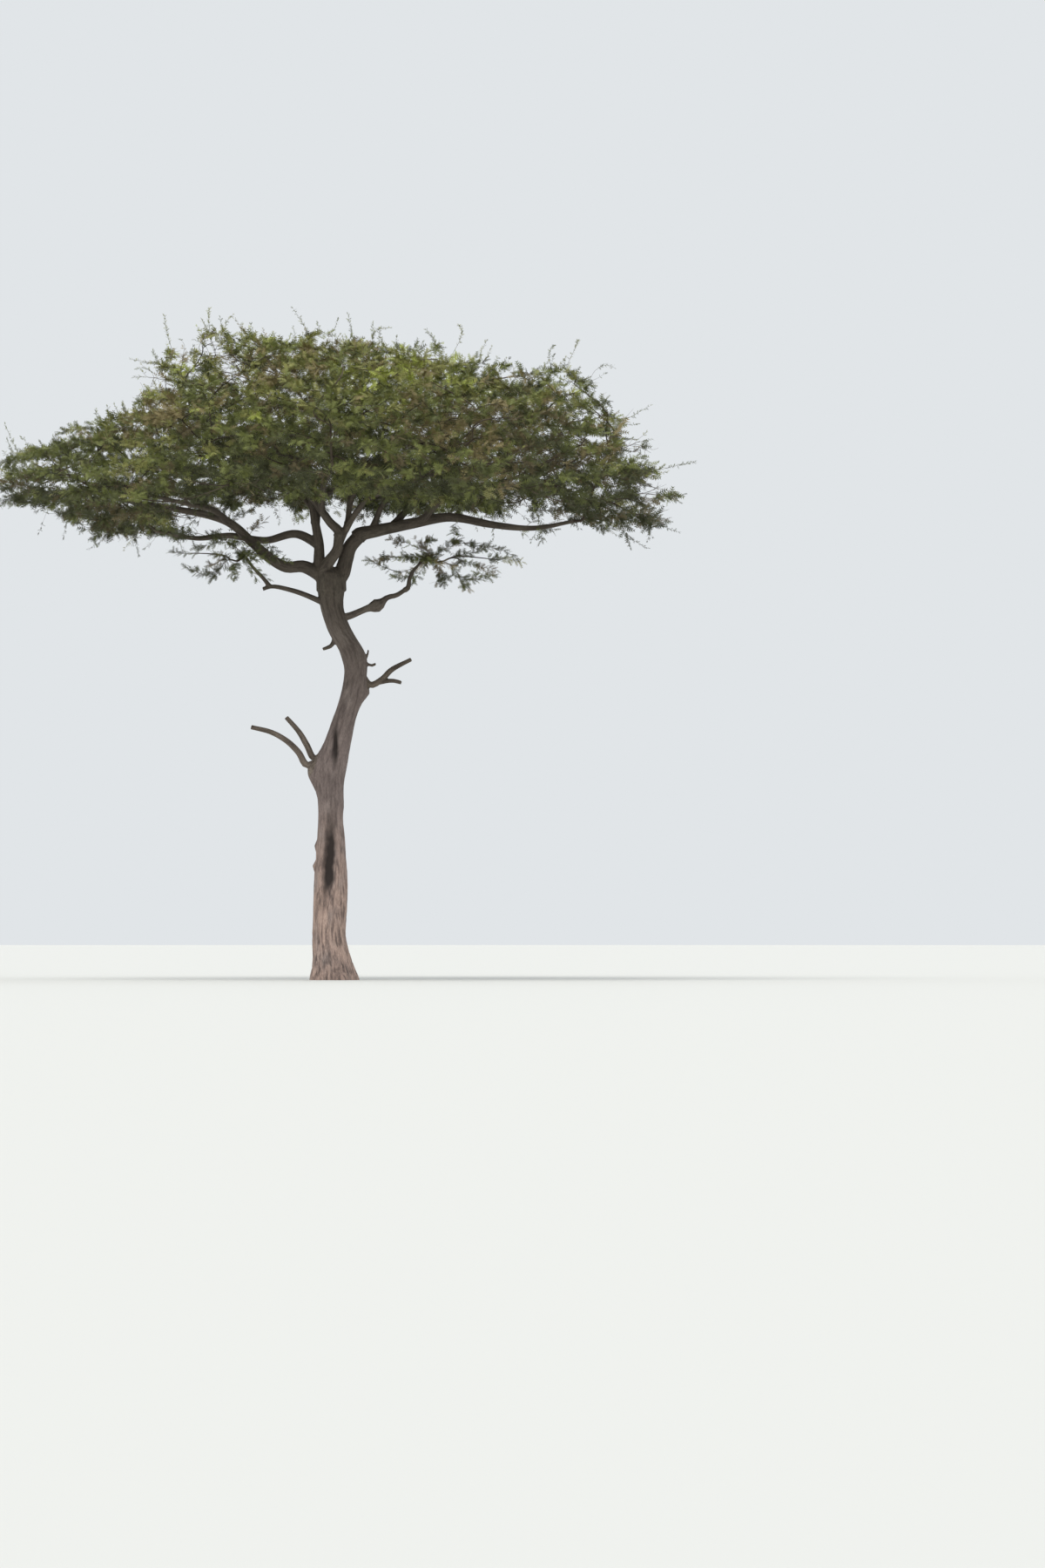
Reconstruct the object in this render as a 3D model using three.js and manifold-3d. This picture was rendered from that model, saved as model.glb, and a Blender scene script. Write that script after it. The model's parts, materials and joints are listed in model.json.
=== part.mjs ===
// A flat-topped acacia of the savanna: a leaning trunk, stems and boughs, dead limbs and masses of foliage.
// Units are millimetres. +Z is up, +X runs to the right of the front view and +Y away from the viewer.
// The origin lies in the flat cut under the trunk, at ground level.
import * as THREE from 'three';
import { ConvexGeometry } from 'three/addons/geometries/ConvexGeometry.js';
import { mergeVertices } from 'three/addons/utils/BufferGeometryUtils.js';
import Module from 'manifold-3d';

const wasm = await Module();
wasm.setup();

// Driving dimensions
const TREE_HEIGHT = 10000;
const CROWN_WIDTH = 10300;
const CROWN_DEPTH = 9000;
const TRUNK_RADIUS = 250; // at breast height
const CLEARANCE = 0.35; // gap between two solids that touch on the living tree
const MERGE_DISTANCE = 1e-3;

// Shapes below are drawn in metres on a tree of this size, and stretched to the driving dimensions.
const DRAWN_HEIGHT = 10;
const DRAWN_WIDTH = 10.3;
const DRAWN_DEPTH = 9;
const DRAWN_TRUNK_RADIUS = 0.25;
const stretch = new THREE.Vector3(
  CROWN_WIDTH / DRAWN_WIDTH, CROWN_DEPTH / DRAWN_DEPTH, TREE_HEIGHT / DRAWN_HEIGHT);
const girth = TRUNK_RADIUS / DRAWN_TRUNK_RADIUS;
const at = ([x, y, z]) => new THREE.Vector3(x, y, z).multiply(stretch);
const UP = new THREE.Vector3(0, 0, 1);
const FRONT = new THREE.Vector3(0, -1, 0);
const LEANING = new THREE.Vector3(0.25, -0.5, 0.83); // the side that the last spray of a twig faces

// The trunk from the ground to its fork: height, sideways and depth offset of its middle, and radius.
const TRUNK_STATIONS = [
  [0, 0.02, 0, 0.33], [0.3, -0.01, 0.01, 0.285], [0.65, -0.045, 0.02, 0.25], [1.3, -0.025, 0.03, 0.255],
  [1.9, -0.02, 0.03, 0.222], [2.5, -0.025, 0.02, 0.187], [2.95, -0.02, 0, 0.2], [3.3, 0.03, -0.02, 0.215],
  [3.75, 0.14, -0.04, 0.183], [4.2, 0.28, -0.05, 0.172], [4.6, 0.352, -0.04, 0.172],
  [4.85, 0.315, -0.02, 0.19], [5.2, 0.12, 0.01, 0.182], [5.55, 0, 0.02, 0.172], [5.85, -0.02, 0.02, 0.205],
  [6, -0.015, 0.01, 0.222],
];
const TRUNK_SIDES = 16;
const TRUNK_RINGS_PER_STATION = 2;
const LEAD_IN = 60; // straight stretch where a limb goes on from its parent's tip
// Swellings and hollows of the trunk: angle round it from +X, height, reach, and how wide and tall they are.
const TRUNK_BUMPS = [
  { angle: 180, height: 3.12, reach: 0.16, wide: 38, tall: 0.24 }, // collar of the dead limbs on the left
  { angle: 0, height: 4.28, reach: 0.09, wide: 34, tall: 0.12 }, // collar of the dead limb on the right
  { angle: 262, height: 1.75, reach: -0.06, wide: 20, tall: 0.6 }, // long hollow in front
  { angle: 262, height: 3.48, reach: -0.04, wide: 18, tall: 0.22 }, // slit above the left collar
];
// The root flare: lobes that stand out at the ground and die away over a height.
const FLARE = { reach: 0.085, height: 0.2, lobes: 5, turn: 30 };

// Stems and bare limbs: what they grow from, the drawn points of the path and the radii at foot and tip.
// A limb that grows from share 1 goes on from the end of its parent, face to face.
const LIMBS = {
  left_stem: {
    from: ['trunk', 0.965], radii: [0.105, 0.046], taper: 0.6, sides: 8, steps: 9,
    path: [[-0.17, -0.01, 6.1], [-0.2, -0.03, 6.5], [-0.25, -0.01, 6.8], [-0.32, 0.03, 7.2],
      [-0.4, 0.06, 7.6]],
  },
  right_leader: {
    from: ['trunk', 0.965], radii: [0.11, 0.103], sides: 9, steps: 5,
    path: [[0.13, 0.03, 6.05], [0.2, 0.04, 6.27], [0.26, 0.03, 6.45], [0.38, 0.01, 6.6]],
  },
  centre_limb: {
    from: ['left_stem', 0.13], radii: [0.088, 0.072], sides: 8, steps: 5,
    path: [[-0.02, -0.13, 6.27], [0.08, -0.17, 6.42], [0.1, -0.16, 6.62]],
  },
  slant_stem: {
    from: ['centre_limb', 1], radii: [0.068, 0.045], sides: 8, steps: 7,
    path: [[-0.03, -0.19, 6.82], [-0.2, -0.24, 7.06], [-0.36, -0.27, 7.35], [-0.46, -0.28, 7.6]],
  },
  upright_stem: {
    from: ['centre_limb', 0.75], radii: [0.052, 0.036], sides: 7, steps: 7,
    path: [[0.22, -0.1, 6.78], [0.25, -0.06, 7], [0.26, -0.03, 7.3], [0.3, 0, 7.65]],
  },
  low_left_branch: {
    from: ['trunk', 0.87], radii: [0.047, 0.03], sides: 7, steps: 6,
    path: [[-0.4, -0.1, 5.74], [-0.62, -0.16, 5.81], [-0.9, -0.22, 5.86], [-1.03, -0.24, 5.82]],
  },
  low_left_riser: {
    from: ['low_left_branch', 0.9], radii: [0.031, 0.022], sides: 6, steps: 4,
    path: [[-1.02, -0.26, 5.98], [-1.12, -0.3, 6.08], [-1.22, -0.34, 6.2]],
  },
  low_right_branch: {
    from: ['trunk', 0.835], radii: [0.058, 0.034], sides: 7, steps: 10,
    knot: { share: 0.58, reach: 0.06, wide: 0.08 },
    path: [[0.26, -0.04, 5.43], [0.5, -0.06, 5.53], [0.7, -0.08, 5.6], [0.82, -0.09, 5.7],
      [0.96, -0.1, 5.735], [1.08, -0.11, 5.81]],
  },
  low_right_riser: {
    from: ['low_right_branch', 1], radii: [0.035, 0.022], sides: 6, steps: 5,
    path: [[1.15, -0.12, 5.96], [1.2, -0.12, 6.08], [1.3, -0.12, 6.2]],
  },
  dead_left_long: {
    from: ['trunk', 0.5], radii: [0.056, 0.03], sides: 6, steps: 7,
    path: [[-0.37, -0.03, 3.2], [-0.5, -0.04, 3.39], [-0.66, -0.05, 3.55], [-0.9, -0.06, 3.69],
      [-1.21, -0.07, 3.77]],
  },
  dead_left_short: {
    from: ['trunk', 0.52], radii: [0.058, 0.03], sides: 6, steps: 6,
    path: [[-0.26, 0.04, 3.3], [-0.38, 0.06, 3.5], [-0.49, 0.08, 3.69], [-0.69, 0.1, 3.92]],
  },
  dead_right: {
    from: ['trunk', 0.725], radii: [0.058, 0.027], sides: 6, steps: 6,
    path: [[0.56, -0.04, 4.4], [0.74, -0.05, 4.48], [0.88, -0.06, 4.62], [1.18, -0.08, 4.78]],
  },
  dead_right_prong: {
    from: ['dead_right', 0.5], radii: [0.03, 0.025], sides: 6, steps: 3,
    path: [[0.9, -0.1, 4.46], [1.03, -0.13, 4.43]],
  },
  stub_left: {
    from: ['trunk', 0.83], radii: [0.045, 0.022], sides: 6, steps: 3,
    path: [[0, -0.03, 5.0], [-0.14, -0.05, 4.93]],
  },
  stub_right: {
    from: ['trunk', 0.775], radii: [0.032, 0.018], sides: 6, steps: 2,
    path: [[0.56, -0.05, 4.69], [0.65, -0.06, 4.71]],
  },
  spur_right: {
    from: ['trunk', 0.79], radii: [0.03, 0.012], sides: 5, steps: 3,
    path: [[0.5, -0.04, 4.8], [0.54, -0.05, 4.92]],
  },
};

// The crown's outline in the front view: sideways place and height of its top, and of its underside.
const CROWN_TOP = [
  [-5.1, 7.6], [-4.6, 7.95], [-3.5, 8.45], [-2.8, 8.65], [-2.55, 9.35], [-1.7, 9.75], [0, 9.62], [1.6, 9.5],
  [2.1, 9.3], [3.8, 9.1], [4.2, 8.65], [4.6, 8.4], [5.2, 7.55],
];
const CROWN_FOOT = [
  [-5.1, 7.1], [-4, 6.92], [-3.6, 6.56], [-2.3, 6.6], [-2, 6.97], [0, 7], [2, 6.92], [3.3, 6.97], [3.6, 6.68],
  [5, 6.63], [5.2, 7],
];
const CROWN_SHIFT = 0.05; // of the crown's middle from the origin, sideways
const CROWN_RIM = 0.35; // how far the rim lies above the underside, in metres as drawn
const CROWN_SQUARENESS = 2.4; // how flat the top stays from front to back; 2 would be an ellipse

// Rings of foliage masses: how far out their middles and their boughs' tips lie, as shares of the crown's
// reach, and how high the tips lie in the crown.
const RINGS = {
  outer: { middle: 0.79, tip: 0.58, tipRise: 0.2 },
  inner: { middle: 0.38, tip: 0.27, tipRise: 0.3 },
};
// The boughs, each with the mass of foliage on its tip. Angles turn from +X towards +Y. A bough with no path
// of its own rises by `rise` above the straight way to the tip that its ring gives, and then levels out.
const BOUGHS = {
  right: {
    ring: 'outer', angle: 0, from: ['right_leader', 1], radii: [0.101, 0.026], sides: 8, steps: 8,
    path: [[0.66, -0.01, 6.7], [1.2, -0.04, 6.81], [1.75, -0.02, 6.9], [2.4, 0.02, 6.79], [3, 0.03, 6.74],
      [3.6, 0, 6.84]],
  },
  right_back: { ring: 'outer', angle: 30, from: ['bough_right', 0.16], radii: [0.058, 0.026], rise: 0.24 },
  back_right: { ring: 'outer', angle: 60, from: ['upright_stem', 0.3], radii: [0.046, 0.024], rise: 0.22 },
  back: { ring: 'outer', angle: 90, from: ['left_stem', 0.55], radii: [0.058, 0.026], rise: 0.2 },
  back_left: { ring: 'outer', angle: 120, from: ['left_stem', 0.68], radii: [0.05, 0.026], rise: 0.16 },
  left_back: {
    ring: 'outer', angle: 152, from: ['left_stem', 0.36], radii: [0.07, 0.028], steps: 8,
    path: [[-0.55, 0.14, 6.66], [-1, 0.3, 6.57], [-1.55, 0.5, 6.65], [-2.05, 0.75, 6.62], [-2.55, 1.1, 6.72]],
  },
  left: {
    ring: 'outer', angle: 180, from: ['left_stem', 0.05], radii: [0.098, 0.028], sides: 8, steps: 10,
    path: [[-0.43, -0.04, 6.165], [-0.68, -0.07, 6.155], [-0.92, -0.1, 6.28], [-1.17, -0.13, 6.5],
      [-1.55, -0.18, 6.82], [-2.35, -0.2, 7.02], [-3.2, -0.1, 7.16]],
  },
  left_front: { ring: 'outer', angle: 210, from: ['bough_left', 0.5], radii: [0.05, 0.026], rise: 0.1 },
  front_left: { ring: 'outer', angle: 240, from: ['slant_stem', 0.55], radii: [0.05, 0.026], rise: 0.16 },
  front: { ring: 'outer', angle: 270, from: ['slant_stem', 0.42], radii: [0.052, 0.026], rise: 0.22 },
  front_right: { ring: 'outer', angle: 300, from: ['upright_stem', 0.22], radii: [0.044, 0.024], rise: 0.24 },
  right_front: { ring: 'outer', angle: 330, from: ['bough_right', 0.3], radii: [0.055, 0.026], rise: 0.16 },
  inner_right: { ring: 'inner', angle: 5, from: ['bough_right', 0.07], radii: [0.05, 0.026], rise: 0.2 },
  inner_back_right: {
    ring: 'inner', angle: 62, from: ['upright_stem', 0.62], radii: [0.036, 0.022], rise: 0.12,
  },
  inner_back_left: {
    ring: 'inner', angle: 120, from: ['left_stem', 0.84], radii: [0.042, 0.024], rise: 0.12,
  },
  inner_left: { ring: 'inner', angle: 180, from: ['left_stem', 1], radii: [0.048, 0.026], rise: 0.1 },
  inner_front_left: { ring: 'inner', angle: 236, from: ['slant_stem', 1], radii: [0.043, 0.024], rise: 0.1 },
  inner_front_right: {
    ring: 'inner', angle: 300, from: ['upright_stem', 0.5], radii: [0.036, 0.022], rise: 0.12,
  },
  middle: {
    ring: 'inner', angle: 0, from: ['upright_stem', 1], radii: [0.035, 0.024],
    path: [[0.3, 0.04, 7.8], [0.22, 0.06, 8]], centre: [0.05, 0, 8.7],
  },
};
// The two thin masses on the low branches, each in a box of its own.
const LOW_MASSES = {
  low_left: { on: 'low_left_riser', low: [-2.4, -0.95, 5.95], high: [-0.62, 0.1, 6.56] },
  low_right: { on: 'low_right_riser', low: [0.5, -0.7, 5.88], high: [2.85, 0.55, 6.62] },
};

// How a mass fills its space: the number of twigs, and the size of its sprays.
const FULL = { twigs: 5, scale: 1 };
const THIN = { twigs: 4, scale: 0.62 };
const HALF_SPACE = [1600, 1600, 1700]; // half the box in which a mass of the crown looks for its twigs' ends
const SPACE_MARGIN = 18; // kept from the border between two masses
const CANDIDATES = 400; // points tried as ends of a mass's twigs
const STEM = { leadIn: 140, tipRadius: 24, jointShares: [0.45, 0.62, 0.8, 1] };
// A twig ends short of its target by a share, as its last spray goes on, and joins where the way is shortest:
// the way back to the foot counts by a weight, and the next joints are tried where it would cross a spray.
const TWIG = {
  footRadius: 20, tipRadius: 15, short: 0.3, wayBackWeight: 0.45, tries: 5, jointShares: [0.62, 1],
};
// A spray of leaves is widest at a share of its length, and its root is sunk to the heart of the twig. It is
// tried at these sizes, and turned on by these degrees.
const SPRAY = {
  length: 1000, slimness: 0.58, thickness: 46, widest: 0.42, sunk: 1, jitter: 20, roll: 75,
  sizes: [1, 0.8, 0.62, 0.46], turns: [0, 35, 70, 105],
};
// Where on its twig each spray starts, its turn from the line of the twig in degrees, and its lift. The first
// stands in where the last spray of the twig, which ends at its target, isn't clear.
const FAN = [
  { share: 0.95, turn: 24, lift: 0.1 },
  { share: 0.84, turn: -50, lift: 0.2 },
  { share: 0.7, turn: 64, lift: -0.1 },
  { share: 0.52, turn: -78, lift: 0.4 },
];
// Slender shoots that grow past the crown's outline by up to a rise, in metres as drawn, and the masses that
// have one: where it ends, by the drawn place where it starts.
const WISP = { rise: 0.35, width: 150, thickness: 22 };
const WISPS = [
  { on: /^(middle|inner_(left|right|front_.*))$/, end: ([x, y]) => [x, y, crownAt(x, y).top + WISP.rise] },
  { on: /^right$/, end: ([, y]) => [5.36, y, 7.6] },
];
const ROUNDING = 1e-6;
const FINISH = {
  bark: new THREE.MeshStandardMaterial({ color: '#5d544e', roughness: 0.95, metalness: 0 }),
  dead: new THREE.MeshStandardMaterial({ color: '#6d645d', roughness: 0.9, metalness: 0 }),
  leaf: new THREE.MeshStandardMaterial({ color: '#5b6432', roughness: 0.75, metalness: 0 }),
};

// Random numbers from a seed, from 0 to 1.
function seeded(seed) {
  let state = seed;
  return () => {
    state = (state + 0x6d2b79f5) | 0;
    let mixed = Math.imul(state ^ (state >>> 15), 1 | state);
    mixed = (mixed + Math.imul(mixed ^ (mixed >>> 7), 61 | mixed)) ^ mixed;
    return ((mixed ^ (mixed >>> 14)) >>> 0) / 4294967296;
  };
}

// Height of an outline at a sideways place, straight between its points.
function outlineAt(outline, x) {
  const next = outline.findIndex(([place]) => place > x);
  if (next === 0) return outline[0][1];
  if (next < 0) return outline[outline.length - 1][1];
  const [[x0, z0], [x1, z1]] = [outline[next - 1], outline[next]];
  return z0 + ((z1 - z0) * (x - x0)) / (x1 - x0);
}

// The crown over a drawn place: the heights of its top and its underside, which meet at the rim.
function crownAt(x, y) {
  const across = (x - CROWN_SHIFT) / (DRAWN_WIDTH / 2);
  const deepest = (DRAWN_DEPTH / 2) * Math.sqrt(Math.max(1 - across * across, 1e-6));
  const full = Math.sqrt(Math.max(1 - Math.abs(y / deepest) ** CROWN_SQUARENESS, 0));
  const foot = outlineAt(CROWN_FOOT, x);
  const rim = foot + CROWN_RIM;
  return { top: rim + full * (outlineAt(CROWN_TOP, x) - rim), foot: rim - full * CROWN_RIM };
}

function ringPlace(share, degrees) {
  const angle = THREE.MathUtils.degToRad(degrees);
  return [
    CROWN_SHIFT + (share * DRAWN_WIDTH * Math.cos(angle)) / 2, (share * DRAWN_DEPTH * Math.sin(angle)) / 2];
}

// A closed cylinder whose rings of vertices are put where ringAt says: middle, two axes and radius by angle.
function ringedGeometry(sides, steps, ringAt) {
  const geometry = new THREE.CylinderGeometry(1, 1, 1, sides, steps);
  const vertices = geometry.getAttribute('position');
  const rings = Array.from({ length: steps + 1 }, (_, i) => ringAt(i / steps));
  for (let i = 0; i < vertices.count; i++) {
    const ring = rings[Math.round((vertices.getY(i) + 0.5) * steps)];
    const across = vertices.getX(i);
    const along = vertices.getZ(i);
    const radius = ring.radius(Math.atan2(along, across));
    const place = ring.middle.clone()
      .addScaledVector(ring.xAxis, across * radius)
      .addScaledVector(ring.yAxis, along * radius);
    vertices.setXYZ(i, place.x, place.y, place.z);
  }
  return geometry;
}

// A limb: a cylinder bent along its path, tapering from foot to tip, and wider by `grow` all round.
function limbGeometry({ curve, radii, sides, steps, knot, taper = 1 }, grow = 0) {
  const frames = curve.computeFrenetFrames(steps);
  return ringedGeometry(sides, steps, (share) => {
    const index = Math.round(share * steps);
    const past = grow * ((share === 1) - (share === 0));
    const swell = knot ? knot.reach * Math.exp(-(((share - knot.share) / knot.wide) ** 2)) : 0;
    const radius = (THREE.MathUtils.lerp(radii[0], radii[1], share ** taper) + swell) * girth + grow;
    return {
      middle: curve.getPointAt(share).addScaledVector(frames.tangents[index], past),
      xAxis: frames.binormals[index],
      yAxis: frames.normals[index],
      radius: () => radius,
    };
  });
}

const trunkCurve = new THREE.CatmullRomCurve3(TRUNK_STATIONS.map(([z, x, y]) => at([x, y, z])));
const trunkRadii = new THREE.CatmullRomCurve3(
  TRUNK_STATIONS.map(([z, , , radius]) => new THREE.Vector3(radius, 0, z)));

// How far the trunk stands out beyond its round section, at an angle and a drawn height, in metres as drawn.
function trunkRelief(angle, height) {
  const lobe = 0.5 + 0.5 * Math.cos(FLARE.lobes * angle - THREE.MathUtils.degToRad(FLARE.turn));
  const flare = FLARE.reach * lobe * Math.exp(-height / FLARE.height);
  return TRUNK_BUMPS.reduce((sum, bump) => {
    const turned = THREE.MathUtils.radToDeg(angle) - bump.angle;
    const aside = (THREE.MathUtils.euclideanModulo(turned + 180, 360) - 180) / bump.wide;
    const above = (height - bump.height) / bump.tall;
    return sum + bump.reach * Math.exp(-aside * aside - above * above);
  }, flare);
}

function trunkGeometry(grow = 0) {
  const steps = (TRUNK_STATIONS.length - 1) * TRUNK_RINGS_PER_STATION;
  return ringedGeometry(TRUNK_SIDES, steps, (share) => {
    const middle = trunkCurve.getPoint(share);
    const height = middle.z / stretch.z;
    middle.z += grow * ((share === 1) - (share === 0));
    return {
      middle,
      xAxis: new THREE.Vector3(0, 1, 0),
      yAxis: new THREE.Vector3(1, 0, 0),
      radius: (turn) => (trunkRadii.getPoint(share).x + trunkRelief(Math.PI / 2 - turn, height)) * girth
        + grow,
    };
  });
}

// The closed solid of a geometry, once the vertices that its faces share are merged.
function solidOf(geometry) {
  const bare = geometry.clone();
  bare.deleteAttribute('normal');
  bare.deleteAttribute('uv');
  const merged = mergeVertices(bare, MERGE_DISTANCE);
  const vertProperties = merged.getAttribute('position').array;
  const triVerts = new Uint32Array(merged.index.array);
  return new wasm.Manifold(new wasm.Mesh({ numProp: 3, vertProperties, triVerts }));
}

function geometryOf(solid) {
  const { numProp, vertProperties, triVerts } = solid.getMesh();
  const vertices = new Float32Array((vertProperties.length / numProp) * 3);
  for (let i = 0; i < vertices.length / 3; i++) {
    vertices.set(vertProperties.subarray(i * numProp, i * numProp + 3), 3 * i);
  }
  const geometry = new THREE.BufferGeometry();
  geometry.setAttribute('position', new THREE.BufferAttribute(vertices, 3));
  geometry.setIndex(new THREE.BufferAttribute(triVerts, 1));
  return geometry.toNonIndexed();
}

function largestOf(solid) {
  return solid.decompose().reduce((best, piece) => (piece.volume() > best.volume() ? piece : best));
}

const tree = new THREE.Group();
const limbs = { trunk: { curve: trunkCurve } };
let taken = solidOf(trunkGeometry(CLEARANCE)); // every limb so far, grown by the gap to its neighbours

function addNode(name, solid, finish) {
  const mesh = new THREE.Mesh(geometryOf(solid), finish);
  mesh.geometry.computeVertexNormals();
  mesh.name = name;
  tree.add(mesh);
}

// Adds a limb cut clear of all the limbs before it.
function addLimb(name, limb, finish) {
  limbs[name] = limb;
  const whole = solidOf(limbGeometry(limb));
  addNode(name, largestOf(whole.subtract(taken)), finish);
  taken = taken.add(solidOf(limbGeometry(limb, CLEARANCE)));
}

// The path of a limb through points, from its foot in its parent, or from just past its parent's tip.
function pathFrom([parent, share], points) {
  const { curve } = limbs[parent];
  const foot = parent === 'trunk' ? curve.getPoint(share) : curve.getPointAt(share);
  if (share < 1) return new THREE.CatmullRomCurve3([foot, ...points]);
  const lead = [CLEARANCE, LEAD_IN].map((way) => foot.clone().addScaledVector(curve.getTangentAt(1), way));
  return new THREE.CatmullRomCurve3([...lead, ...points]);
}

// The way of a bough that rises steeply from its foot and levels out to its tip.
function risingPath(foot, tip, rise) {
  const steep = foot.clone().lerp(tip, 0.22).addScaledVector(UP, rise * stretch.z);
  const level = foot.clone().lerp(tip, 0.6).addScaledVector(UP, 0.55 * rise * stretch.z);
  return [steep, level, tip];
}

addNode('trunk', solidOf(trunkGeometry()), FINISH.bark);
for (const [name, limb] of Object.entries(LIMBS)) {
  const finish = /dead|stub|spur/.test(name) ? FINISH.dead : FINISH.bark;
  addLimb(name, { ...limb, curve: pathFrom(limb.from, limb.path.map(at)) }, finish);
}

// The tip that its ring gives a bough.
function ringTip({ tip, tipRise }, angle) {
  const [x, y] = ringPlace(tip, angle);
  const { top, foot } = crownAt(x, y);
  return at([x, y, foot + tipRise * (top - foot)]);
}

// Adds a bough, and gives the mass of foliage that it carries its middle and its box.
function addBough([name, bough]) {
  const ring = RINGS[bough.ring];
  const [parent, share] = bough.from;
  const path = bough.path?.map(at)
    ?? risingPath(limbs[parent].curve.getPointAt(share), ringTip(ring, bough.angle), bough.rise);
  addLimb(`bough_${name}`, { sides: 6, steps: 6, ...bough, curve: pathFrom(bough.from, path) }, FINISH.bark);
  const [x, y] = ringPlace(ring.middle, bough.angle);
  const { top, foot } = crownAt(x, y);
  const middle = at(bough.centre ?? [x, y, (top + foot) / 2]);
  const half = new THREE.Vector3(...HALF_SPACE);
  const box = { low: middle.clone().sub(half), high: middle.clone().add(half) };
  return { name, on: `bough_${name}`, middle, ...box, ...FULL };
}

const masses = Object.entries(BOUGHS).map(addBough);
const lowMasses = Object.entries(LOW_MASSES).map(([name, { on, ...box }]) => {
  const low = at(box.low);
  const high = at(box.high);
  return { name, on, low, high, middle: low.clone().lerp(high, 0.5), ...THIN };
});

// Whether a point lies in the crown, or up to `rise` above it, and nearer to this mass's middle than to any
// other.
function inCell(mass, point, rise = 0) {
  const { top, foot } = crownAt(point.x / stretch.x, point.y / stretch.y);
  const height = point.z / stretch.z;
  if (height > top + rise + ROUNDING || height < foot) return false;
  const own = point.distanceTo(mass.middle);
  return masses.every((other) => other === mass || point.distanceTo(other.middle) > own + 2 * SPACE_MARGIN);
}

function inBox(mass, point) {
  return new THREE.Box3(mass.low, mass.high).containsPoint(point);
}

// Points spread evenly through a box, the same each run. Their steps along the three axes are powers of the
// root of x^4 = x + 1, which keeps them apart.
function spreadPoints(low, high, count) {
  const root = 1.22074408;
  const size = high.clone().sub(low);
  return Array.from({ length: count }, (_, n) => {
    const [x, y, z] = [1, 2, 3].map((power) => (0.5 + (n + 1) / root ** power) % 1);
    return new THREE.Vector3(x, y, z).multiply(size).add(low);
  });
}

// The ends that a mass grows to: the point of its space furthest from the foot, then each time the one
// furthest from those before it.
function twigTargets(mass, inSpace, foot) {
  const points = spreadPoints(mass.low, mass.high, CANDIDATES).filter((point) => inSpace(mass, point));
  const targets = [];
  while (targets.length < mass.twigs) {
    const gap = (point) => Math.min(...[foot, ...targets].map((one) => one.distanceTo(point)));
    targets.push(points.reduce((best, one) => (gap(one) > gap(best) ? one : best)));
  }
  return targets.sort((a, b) => a.distanceTo(foot) - b.distanceTo(foot));
}

// A flat spray of leaves with 6 faces, from its root along heading, with a low ridge on the side of `face`.
function sprayGeometry(root, heading, face, { length, width, thickness }) {
  const side = new THREE.Vector3().crossVectors(face, heading).normalize();
  const flat = new THREE.Vector3().crossVectors(heading, side).normalize();
  const place = (along, across, up) => root.clone()
    .addScaledVector(heading, along - SPRAY.sunk)
    .addScaledVector(side, across)
    .addScaledVector(flat, up);
  const widest = SPRAY.widest * length;
  return new ConvexGeometry([
    place(0, 0, 0), place(widest, width / 2, 0), place(widest, -width / 2, 0), place(widest, 0, thickness),
    place(length, 0, 0)]);
}

function spraySize(length) {
  return { length, width: SPRAY.slimness * length, thickness: SPRAY.thickness };
}

// A straight twig with three sides.
function twigGeometry(foot, tip, footRadius, tipRadius) {
  const heading = tip.clone().sub(foot).normalize();
  const side = new THREE.Vector3().crossVectors(heading, UP).normalize();
  const corner = (middle, radius, turn) => middle.clone()
    .addScaledVector(side.clone().applyAxisAngle(heading, THREE.MathUtils.degToRad(turn)), radius);
  return new ConvexGeometry([90, 210, 330].flatMap((turn) => [
    corner(foot, footRadius, turn), corner(tip, tipRadius, turn)]));
}

function cornersOf(geometry) {
  const vertices = geometry.getAttribute('position');
  const corner = (_, i) => new THREE.Vector3().fromBufferAttribute(vertices, i);
  return Array.from({ length: vertices.count }, corner);
}

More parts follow.
